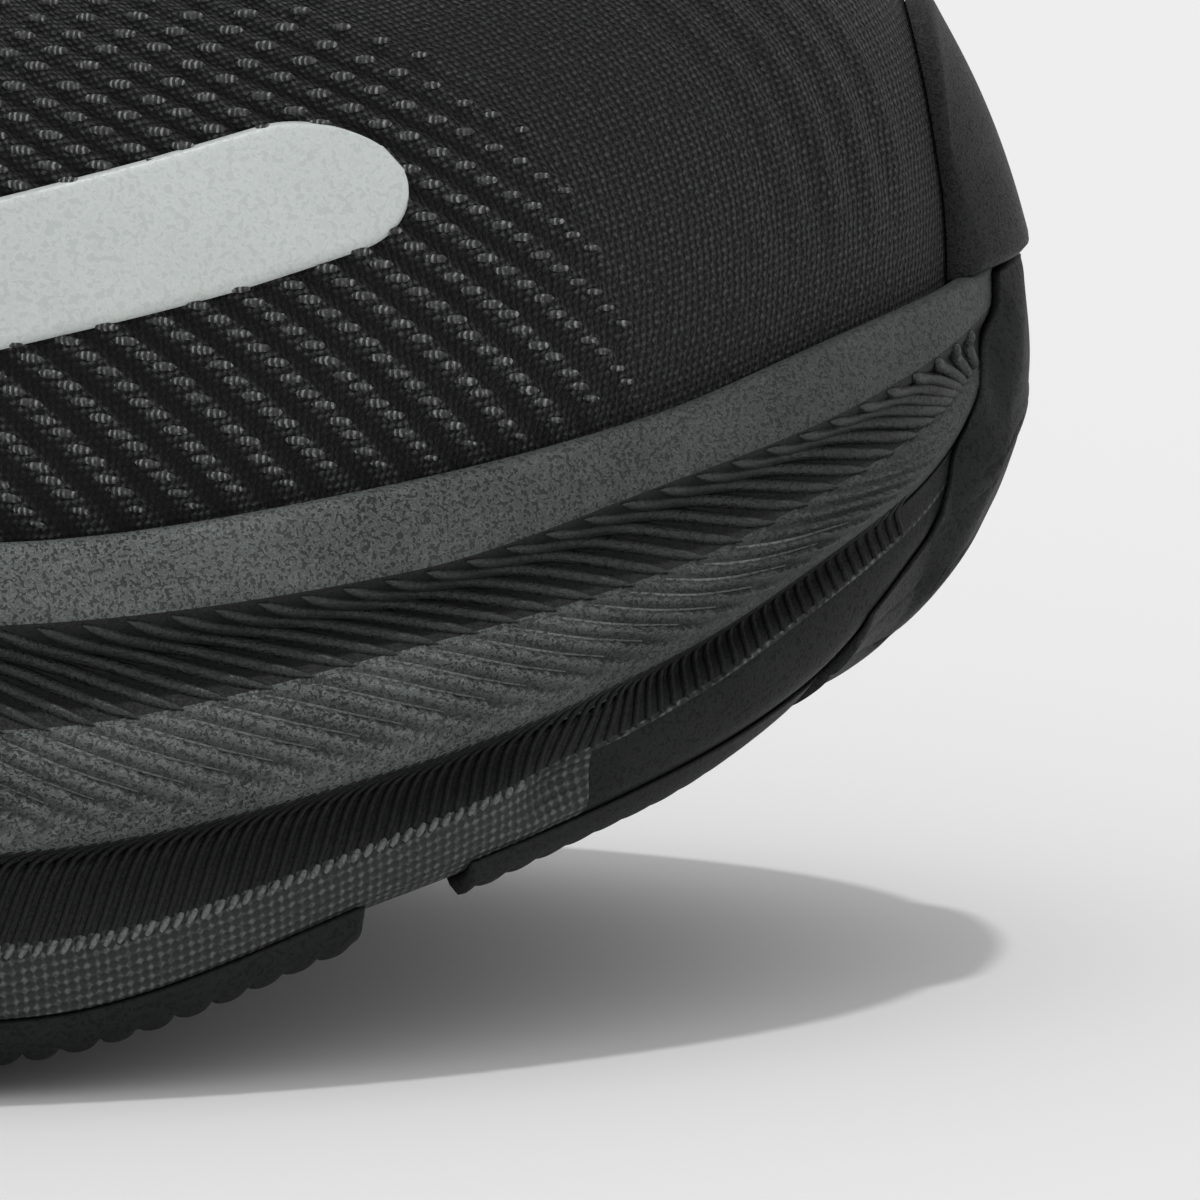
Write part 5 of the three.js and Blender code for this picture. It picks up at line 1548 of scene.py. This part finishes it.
@dataclass
class Lacing:
    """Braided lace through its eyelets, with both ends tucked inside."""

    lace: float = 2.4
    clear: float = 0.8
    bore: float = 2.5
    wall: float = 0.8
    flange: float = 1.4
    seat: float = 0.4
    flange_thick: float = 0.7
    stay_face: float = 2.2
    skin: float = -1.4
    tuck_back: float = 0.0075
    tuck_lengths: tuple[float, ...] = (1.5, 9, 16, 24)
    throat: Throat = field(default_factory=Throat)

    def __post_init__(self) -> None:
        """Works out the lace's depth over and under the upper."""
        self.over = self.stay_face + self.seat + self.flange_thick + self.clear + self.lace / 2
        self.under = self.skin - 0.3 - self.lace / 2

    def at(self, t: float, v: float, depth: float) -> np.ndarray:
        """Point of the upper's wall at a depth."""
        return FORM.upper(np.array([t]), np.array([v]), np.array([depth]))[0]

    def edge_v(self, t: float, distance: float) -> float:
        """v at a distance from the opening's edge."""
        return float(FORM.v_from_edge(np.array([t]), distance)[0])

    def strand(self, starts_medial: bool, rise: float) -> list[np.ndarray]:
        """One strand of the crossed lacing, from the front eyelet to the top one."""
        points = []
        for row in range(self.throat.rows):
            sides = (self.throat.medial, self.throat.lateral)
            here_side, next_side = sides if starts_medial == (row % 2 == 0) else sides[::-1]
            t, v = here_side[row]
            points += [self.at(t, v, self.under * 0.6), self.at(t, v, 0), self.at(t, v, self.over * 0.9)]
            if row + 1 == self.throat.rows:
                break
            t1, v1 = next_side[row + 1]
            middle = (self.at(t, v, 0) + self.at(t1, v1, 0)) / 2
            middle[2] = self.throat.tongue_line(middle[0]) + self.lace / 2 + self.clear + rise
            points += [
                self.at(t, self.edge_v(t, 3.5), self.over), self.at(t, self.edge_v(t, 0.6), self.over),
                middle,
                self.at(t1, self.edge_v(t1, 1.5), self.under),
                self.at(t1, self.edge_v(t1, self.throat.edge - 2), self.under),
            ]
        return points

    def tucked_end(self, t: float) -> list[np.ndarray]:
        """The end, carried over the flap and tucked down inside, beside the tongue."""
        past = t - self.tuck_back if t > 0.5 else t + self.tuck_back
        crest, below = (FORM.wall(np.array([past]), np.array([v]))[0] for v in (1.0, 0.95))
        crest = crest + unit(crest - below) * ((self.lace + FORM.knit) / 2 + 3 * self.clear)
        start = [
            self.at(t, self.edge_v(t, 3.5), self.over), self.at(t, self.edge_v(t, 0.5), self.over), crest
        ]
        return start + [self.at(past, self.edge_v(past, d), self.under) for d in self.tuck_lengths]

    def route(self) -> np.ndarray:
        """The whole lace, from one tucked end to the other."""
        rows = self.throat.rows
        swaps = (rows - 1) % 2 == 1
        ends = (self.throat.medial, self.throat.lateral) if swaps else (
            self.throat.lateral, self.throat.medial
        )
        first, last = self.tucked_end(ends[0][-1][0]), self.tucked_end(ends[1][-1][0])
        lateral, medial = self.strand(False, self.lace + 0.6), self.strand(True, 0.0)
        (t0, v0), (t1, v1) = self.throat.lateral[0], self.throat.medial[0]
        bar = (self.at(t0, v0, 0) + self.at(t1, v1, 0)) / 2
        bar[2] = self.throat.tongue_line(bar[0]) + self.lace / 2 + self.clear
        return np.array(first[::-1] + lateral[::-1] + [bar] + medial + last)

    def cord(self) -> bpy.types.Object:
        """The braided lace."""
        path = smooth_path(FORM.placed(self.route()), 14)
        LOG.info("lace: %.0f mm long", np.linalg.norm(np.diff(path, axis=0), axis=1).sum() / MM)
        return dress(tube_solid("lace_braid", path, self.lace / 2 * MM, 14), LACE_YARN)

    def eyelet(self, name: str, place: tuple[float, float]) -> bpy.types.Object:
        """Turned ring with a rounded flange."""
        t, v = np.array([place[0]]), np.array([place[1]])
        centre, axis = FORM.wall(t, v)[0], FORM.wall_normal(t, v)[0]
        seat = self.stay_face + 0.02
        crown = self.stay_face + self.seat + self.flange_thick
        outer, rim = self.bore + self.wall, self.bore + self.wall + self.flange
        edge, tall = 0.25, crown - seat - 0.5
        turns, shares = np.linspace(0, math.pi, 4), np.linspace(0, 1, 6)
        roll = [(rim - edge * (1 - math.cos(a)), seat + edge + tall * a / math.pi) for a in turns]
        dome = [(rim - 0.3 - (rim - self.bore - 0.6) * f, crown - 0.12 * abs(2 * f - 1) ** 2) for f in shares]
        profile = [(self.bore, self.skin), (outer, self.skin), (outer, seat), (rim - edge, seat)]
        profile += [*roll, *dome, (self.bore, crown - 0.4)]
        turn = np.linspace(0, 2 * math.pi, 40, endpoint=False)
        front = unit(np.cross(axis, np.array([0.2, 1.0, 0.1])))
        side = np.cross(axis, front)
        around = np.cos(turn)[:, None] * front + np.sin(turn)[:, None] * side
        r, h = (np.array([p[k] for p in profile]) for k in (0, 1))
        loops = centre + around[:, None] * r[None, :, None] + axis * h[None, :, None]
        return dress(loop_solid(name, loops, closed=True), PLASTIC)

    def build(self) -> None:
        """Builds the lace and its eyelets and hands them over."""
        settle(self.cord(), "shoe", ["lace"])
        for side, places in (("lateral", self.throat.lateral), ("medial", self.throat.medial)):
            for i, place in enumerate(places):
                node = f"eyelet_{side}_{i + 1}"
                settle(self.eyelet(f"{node}_ring", place), "shoe", [node])


@dataclass
class Tongue:
    """Padded tongue, quilted across, inflated by a cloth simulation."""

    thick: float = 5.6
    inset: float = 1.0
    arch: float = 0.0195
    cover_gap: float = 0.6
    swell: float = 1.0
    voxel: float = 2.2
    channels: tuple[float, ...] = (0.2, 0.36, 0.52, 0.68, 0.84)
    throat: Throat = field(default_factory=Throat)

    def face(self, a: np.ndarray, b: np.ndarray, depth: np.ndarray) -> np.ndarray:
        """Point of the tongue: a from its sewn end to its tip, b across, at a depth below its face."""
        x = self.throat.base_x + (self.throat.tip_x - self.throat.base_x) * a
        most = -self.throat.back[1] - self.throat.tongue_side
        half = most * (0.62 + 0.38 * smooth(a, 0, 0.6)) * (1 - 0.35 * smooth(a, 0.88, 1))
        y = b * (half - self.inset)
        z = self.throat.tongue_line(x) - self.arch * y * y - depth / math.cos(math.atan(self.throat.slope))
        return np.stack([x, y, z], -1)

    def pad(self) -> bpy.types.Object:
        """The pad before it is filled."""
        a = np.linspace(0.012, 0.988, 60)
        turn = np.linspace(0, 2 * math.pi, 48, endpoint=False)
        aa, tt = np.meshgrid(a, turn, indexing="ij")
        ends = np.sqrt(np.clip(1 - (1 - np.clip(np.minimum(aa, 1 - aa) / 0.05, 0, 1)) ** 2, 0.05, 1))
        b = np.sign(np.cos(tt)) * np.abs(np.cos(tt)) ** 0.55
        up = np.sign(np.sin(tt)) * np.abs(np.sin(tt)) ** 0.75 * ends
        depth = self.cover_gap + self.thick / 2 - up * self.thick / 2
        return loop_solid("tongue_pad", self.face(aa, b, depth))

    def filled(self, obj: bpy.types.Object) -> bpy.types.Object:
        """Swells the pad as foam does under its cover, by a cloth simulation whose reach is capped."""
        remesh = obj.modifiers.new("even", "REMESH")
        remesh.mode, remesh.voxel_size = "VOXEL", self.voxel * MM
        obj = self.applied(obj)
        rest = np.array([v.co for v in obj.data.vertices])
        cloth = obj.modifiers.new("fill", "CLOTH")
        cloth.settings.use_pressure = True
        cloth.settings.uniform_pressure_force = 4.0
        cloth.settings.effector_weights.gravity = 0.0
        cloth.settings.quality = 4
        cloth.collision_settings.use_self_collision = False
        cloth.point_cache.frame_start, cloth.point_cache.frame_end = 1, 20
        for frame_number in range(1, 21):
            bpy.context.scene.frame_set(frame_number)
        obj = self.applied(obj)
        moved = np.array([v.co for v in obj.data.vertices]) - rest
        length = np.linalg.norm(moved, axis=1, keepdims=True)
        capped = rest + moved * np.minimum(1, self.swell * MM / np.maximum(length, 1e-9))
        obj.data.vertices.foreach_set("co", capped.astype(np.float32).ravel())
        bpy.context.scene.frame_set(1)
        return obj

    def applied(self, obj: bpy.types.Object) -> bpy.types.Object:
        """Turns a piece with live modifiers into a plain one of the same name."""
        name = obj.name
        bpy.context.view_layer.update()
        graph = bpy.context.evaluated_depsgraph_get()
        mesh = bpy.data.meshes.new_from_object(obj.evaluated_get(graph), depsgraph=graph)
        plain = bpy.data.objects.new(name, mesh)
        bpy.data.objects.remove(obj)
        plain.name = name
        bpy.context.scene.collection.objects.link(plain)
        return plain

    def quilted(self, obj: bpy.types.Object) -> bpy.types.Object:
        """Subdivides the pad and draws in its sewn channels."""
        finer = obj.modifiers.new("finer", "SUBSURF")
        finer.levels = finer.render_levels = 1
        obj = self.applied(obj)
        co = np.array([v.co for v in obj.data.vertices]) / MM - FORM.shift
        normal = np.array([v.normal for v in obj.data.vertices])
        a = (co[:, 0] - self.throat.base_x) / (self.throat.tip_x - self.throat.base_x)
        length = abs(self.throat.tip_x - self.throat.base_x)
        pull = sum(np.exp(-(((a - c) * length / 1.1) ** 2)) for c in self.channels)
        co = co - normal * (0.75 * pull * (np.abs(normal[:, 2]) > 0.3))[:, None]
        obj.data.vertices.foreach_set("co", FORM.placed(co).astype(np.float32).ravel())
        return tidy(obj)

    def build(self) -> None:
        """Builds the tongue and hands it over."""
        obj = self.pad()
        obj = self.filled(obj)
        obj = dress(self.quilted(obj), TONGUE_KNIT)
        settle(obj, "tongue", ["tongue_cover", "tongue_foam", "tongue_backing"])


# ------------------------------------------------------------------ inside and heel
@dataclass
class Collar:
    """Padded collar: foam under a soft lining, rolled over the opening's edge and down inside."""

    skin: float = -1.4
    counter: float = 1.7
    pad: float = 5.5
    lining: float = 0.8
    first: float = 25 / 72
    stations: int = 420

    def side(self, t: np.ndarray) -> np.ndarray:
        """0 at the toe, 0.5 at the heel."""
        return np.minimum(t % 1, 1 - t % 1)

    def seat(self, t: np.ndarray) -> np.ndarray:
        """Depth of the foam's outer face, behind the upper and the counter."""
        return self.skin - self.counter * smooth(self.side(t), 26 / 72, 27 / 72) - 0.2

    def swell(self, t: np.ndarray, v: np.ndarray) -> np.ndarray:
        """Share of the foam's full thickness."""
        return smooth(v, 0.4, 0.72) * (1 - 0.6 * smooth(v, 0.86, 1)) * smooth(self.side(t), 0.342, 0.402)

    def roll(self) -> bpy.types.Object:
        """The whole collar as one padded solid."""
        t = np.linspace(self.first, 1 - self.first, self.stations)
        up = np.concatenate([np.linspace(0.16, 0.9, 20), np.linspace(0.9, 0.985, 5)[1:]])
        down = np.concatenate([np.linspace(0.985, 0.8, 16), np.linspace(0.8, 0.14, 34)[1:]])
        tu, vu = np.meshgrid(t, up, indexing="ij")
        td, vd = np.meshgrid(t, down, indexing="ij")
        outer = FORM.upper(tu, vu, self.seat(tu))
        inside = self.seat(td) - self.pad * self.swell(td, vd) - self.lining
        inner = FORM.upper(td, vd, inside)
        rise = unit(outer[:, -1] - outer[:, -2])[:, None]
        turn = np.linspace(0, math.pi, 9)[None, 1:-1, None]
        middle, half = (outer[:, -1] + inner[:, 0])[:, None] / 2, (outer[:, -1] - inner[:, 0])[:, None] / 2
        crown = middle + half * np.cos(turn) + rise * np.sin(turn) * 1.7
        loops = np.concatenate([outer, crown, inner], axis=1)
        if loops.shape[1] % 2:
            loops = np.delete(loops, 1, axis=1)
        run = run_along(loops, 1)
        uv = np.stack([np.broadcast_to(toe_distance(t)[:, None], run.shape), run], -1)
        return dress(loop_solid("collar_padding", loops, uv), LINING)

    def build(self) -> None:
        """Builds the collar and hands it over."""
        obj = self.roll()
        foams = ["collar_foam_lateral", "collar_foam_heel", "collar_foam_medial"]
        settle(obj, "shoe", ["collar_lining", *foams])


@dataclass
class Sockliner:
    """Removable insole: foam under a fabric cover, dished at its edge."""

    clear: float = 0.9
    heel_room: float = 2.8
    low: float = 2.2
    top: float = 7.4
    cup: float = 1.6

    def inset(self, t: np.ndarray) -> np.ndarray:
        """Distance from the upper's inner face."""
        side = np.minimum(t % 1, 1 - t % 1)
        return self.clear + self.heel_room * smooth(side, 0.27, 25 / 72)

    def build(self) -> None:
        """Builds the insole and hands it over."""
        t = FORM.at_arc(np.arange(480) * FORM.girth / 480)
        x = FORM.x(t)
        edge = FORM.plan(
            t, FORM.foot_inset(x) + FORM.knit / 2 + self.inset(t), FORM.lip_top(t) - FORM.lip_depth,
        )
        axis = (edge + edge[(-np.arange(480)) % 480]) / 2
        shares = [0.06, 0.0, 0.0, 0.012, 0.04, 0.09, 0.16, 0.26, 0.4, 0.6, 0.8, 0.94]
        rises = [self.low, self.low + 0.5, self.top + self.cup - 0.7, self.top + self.cup]
        rises += [self.top + self.cup * (1 - float(smooth(s, 0.02, 0.45))) for s in shares[4:]]
        rings = np.stack([edge + (axis - edge) * s + np.array([0, 0, z]) for s, z in zip(shares, rises)])
        obj = dress(ring_solid("sockliner_body", rings), COVER)
        settle(obj, "sockliner", ["sockliner_cover", "sockliner_foam"])


@dataclass
class PullLoop:
    """Woven loop at the heel."""

    tab_room: float = 0.08
    tab_least: float = 0.3
    width: float = 12.0
    webbing: float = 1.3
    height: float = 24.0
    depth: float = 9.5
    foot_v: float = 0.78
    skin: float = 1.4

    def build(self) -> None:
        """Builds the loop and hands it over."""
        foot, top = (
            FORM.upper(np.array([0.5]), np.array([v]), np.array([self.skin]))[0] for v in (self.foot_v, 1.0)
        )
        lean = math.atan2(top[0] - foot[0], top[2] - foot[2])
        half, r = self.depth / 2, (self.depth - self.webbing) / 2
        arc = np.linspace(0, math.pi, 22)
        high = np.stack([r * np.cos(arc), self.height - half + r * np.sin(arc)], -1)
        low = np.stack([-r * np.cos(arc), half - r * np.sin(arc)], -1)
        gap = np.linspace(0, 1, 12)[1:-1, None]
        path = np.concatenate(
            [high, high[-1] + (low[0] - high[-1]) * gap, low, low[-1] + (high[0] - low[-1]) * gap]
        )
        along = unit(np.roll(path, -1, 0) - np.roll(path, 1, 0))
        out = np.stack([along[:, 1], -along[:, 0]], -1)
        corner = np.linspace(0, 2 * math.pi, 28, endpoint=False)
        across = np.sign(np.cos(corner)) * np.abs(np.cos(corner)) ** 0.25 * self.width / 2
        thick = np.sign(np.sin(corner)) * np.abs(np.sin(corner)) ** 0.6 * self.webbing / 2
        flat = path[:, None] + out[:, None] * thick[None, :, None]
        x, z = flat[..., 0], flat[..., 1]
        y = np.broadcast_to(across[None], x.shape)
        leant_x = x * math.cos(lean) + z * math.sin(lean) + foot[0] - half
        leant_z = z * math.cos(lean) - x * math.sin(lean) + foot[2]
        loops = np.stack([leant_x, y, leant_z], -1)
        obj = dress(loop_solid("pull_loop_webbing", loops, closed=True), WEBBING)
        settle(obj, "pull_loop", ["pull_loop"])
        settle(self.anchor(foot, top), "shoe")

    def anchor(self, foot: np.ndarray, top: np.ndarray) -> bpy.types.Object:
        """Sewn tab that fills the heel's hollow behind the loop and holds it.

        Args:
            foot: where the loop's front face meets the heel.
            top: where it meets the opening's edge.
        """
        half = self.width / 2 / FORM.girth
        t = np.linspace(0.5 - half, 0.5 + half, 40)
        share = np.linspace(0, 1, 40)
        low, high = np.full(40, self.foot_v - 0.03), np.full(40, 0.985)
        v = low[:, None] + (high - low)[:, None] * share[None]
        tt = np.broadcast_to(t[:, None], v.shape)
        seat, normal = FORM.upper(tt, v, np.full(v.shape, self.skin)), FORM.wall_normal(tt, v)
        along = unit(top - foot)
        face = np.array([-along[2], 0, along[0]])
        facing = normal @ face
        facing = np.minimum(facing, -0.2) if face[0] > 0 else np.maximum(facing, 0.2)
        reach = ((foot - seat) @ face) / facing
        LOG.info("pull loop stands %.2f to %.2f mm off the heel", reach.min(), reach.max())
        thick = np.maximum(reach - self.tab_room, self.tab_least)
        return Upper().plate("pull_loop_tab", t, low, high, thick, WEBBING, 40, 0.5)


# ------------------------------------------------------------------ stage
@dataclass
class Stage:
    """Plain pale floor, soft light and the camera."""

    lens: float = 600.0
    elevation: float = 10.0
    view_width: float = 85.7
    behind_toe: float = 30.7
    below_tip: float = 19.3
    tip_height: float = 45.0
    backdrop: float = 0.863
    sky: float = 0.78

    def floor(self) -> None:
        """A wide matte floor."""
        corners = np.array([(-60, -60, 0), (60, -60, 0), (60, 60, 0), (-60, 60, 0)], float)
        obj = mesh_object("floor", corners, np.array([[0, 1, 2, 3]]))
        made = bpy.data.materials.new("floor_paint")
        made.use_nodes = True
        shader = made.node_tree.nodes["Principled BSDF"]
        shader.inputs["Base Color"].default_value = (0.8, 0.8, 0.8, 1)
        shader.inputs["Roughness"].default_value = 1.0
        shader.inputs["Specular IOR Level"].default_value = 0.0
        obj.data.materials.append(made)

    def light(self) -> None:
        """An even sky and a small high sun for the shadow."""
        world = bpy.data.worlds.new("studio")
        bpy.context.scene.world = world
        world.use_nodes = True
        tree = Tree(world.node_tree)
        sky = world.node_tree.nodes["Background"]
        sky.inputs["Color"].default_value = (1, 1, 1, 1)
        seen = tree.add("ShaderNodeLightPath").outputs["Is Camera Ray"]
        strength = tree.math("MULTIPLY_ADD", seen, self.backdrop - self.sky, self.sky)
        world.node_tree.links.new(strength, sky.inputs["Strength"])
        sun = bpy.data.lights.new("sun", "SUN")
        sun.energy, sun.angle = 0.92, math.radians(3)
        holder = bpy.data.objects.new("sun", sun)
        holder.rotation_euler = (math.radians(4), math.radians(2.5), 0)
        bpy.context.scene.collection.objects.link(holder)

    def camera(self) -> None:
        """Camera low beside the toe, with a long lens."""
        e = math.radians(self.elevation)
        forward, up = Vector((0, math.cos(e), -math.sin(e))), Vector((0, math.sin(e), math.cos(e)))
        toe = FORM.placed(np.array([150.0, 7.0, self.tip_height]))
        aim = Vector(toe.tolist()) + Vector((-self.behind_toe * MM, 0, 0)) - up * self.below_tip * MM
        data = bpy.data.cameras.new("camera")
        data.lens, data.sensor_width = self.lens, 36.0
        distance = self.view_width * MM * self.lens / 36.0
        data.clip_start, data.clip_end = 0.05, 200.0
        obj = bpy.data.objects.new("camera", data)
        obj.location = aim - forward * distance
        obj.rotation_mode = "QUATERNION"
        obj.rotation_quaternion = forward.to_track_quat("-Z", "Y")
        bpy.context.scene.collection.objects.link(obj)
        bpy.context.scene.camera = obj

    def build(self) -> None:
        """Builds the stage."""
        self.camera()
        self.floor()
        self.light()
        bpy.context.scene.view_settings.view_transform = "Standard"


def dress_kept() -> None:
    """Gives each node that stays its finish."""
    kept = {"shank_plate": PLASTIC, "toe_puff": PLASTIC, "heel_counter": PLASTIC, "strobel_board": BOARD}
    for name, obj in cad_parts.items():
        finish = kept.get(name, PLASTIC)
        if not obj.hide_render:
            dress(obj, finish)


def main() -> None:
    """Builds the shoe's sub-assemblies in order."""
    logging.basicConfig(level=logging.INFO, format="%(name)s %(message)s")
    Stage().build()
    Midsole().build()
    Outsole().build()
    Upper().build()
    Collar().build()
    Sockliner().build()
    Tongue().build()
    Lacing().build()
    PullLoop().build()
    dress_kept()


if __name__ == "__main__":
    main()
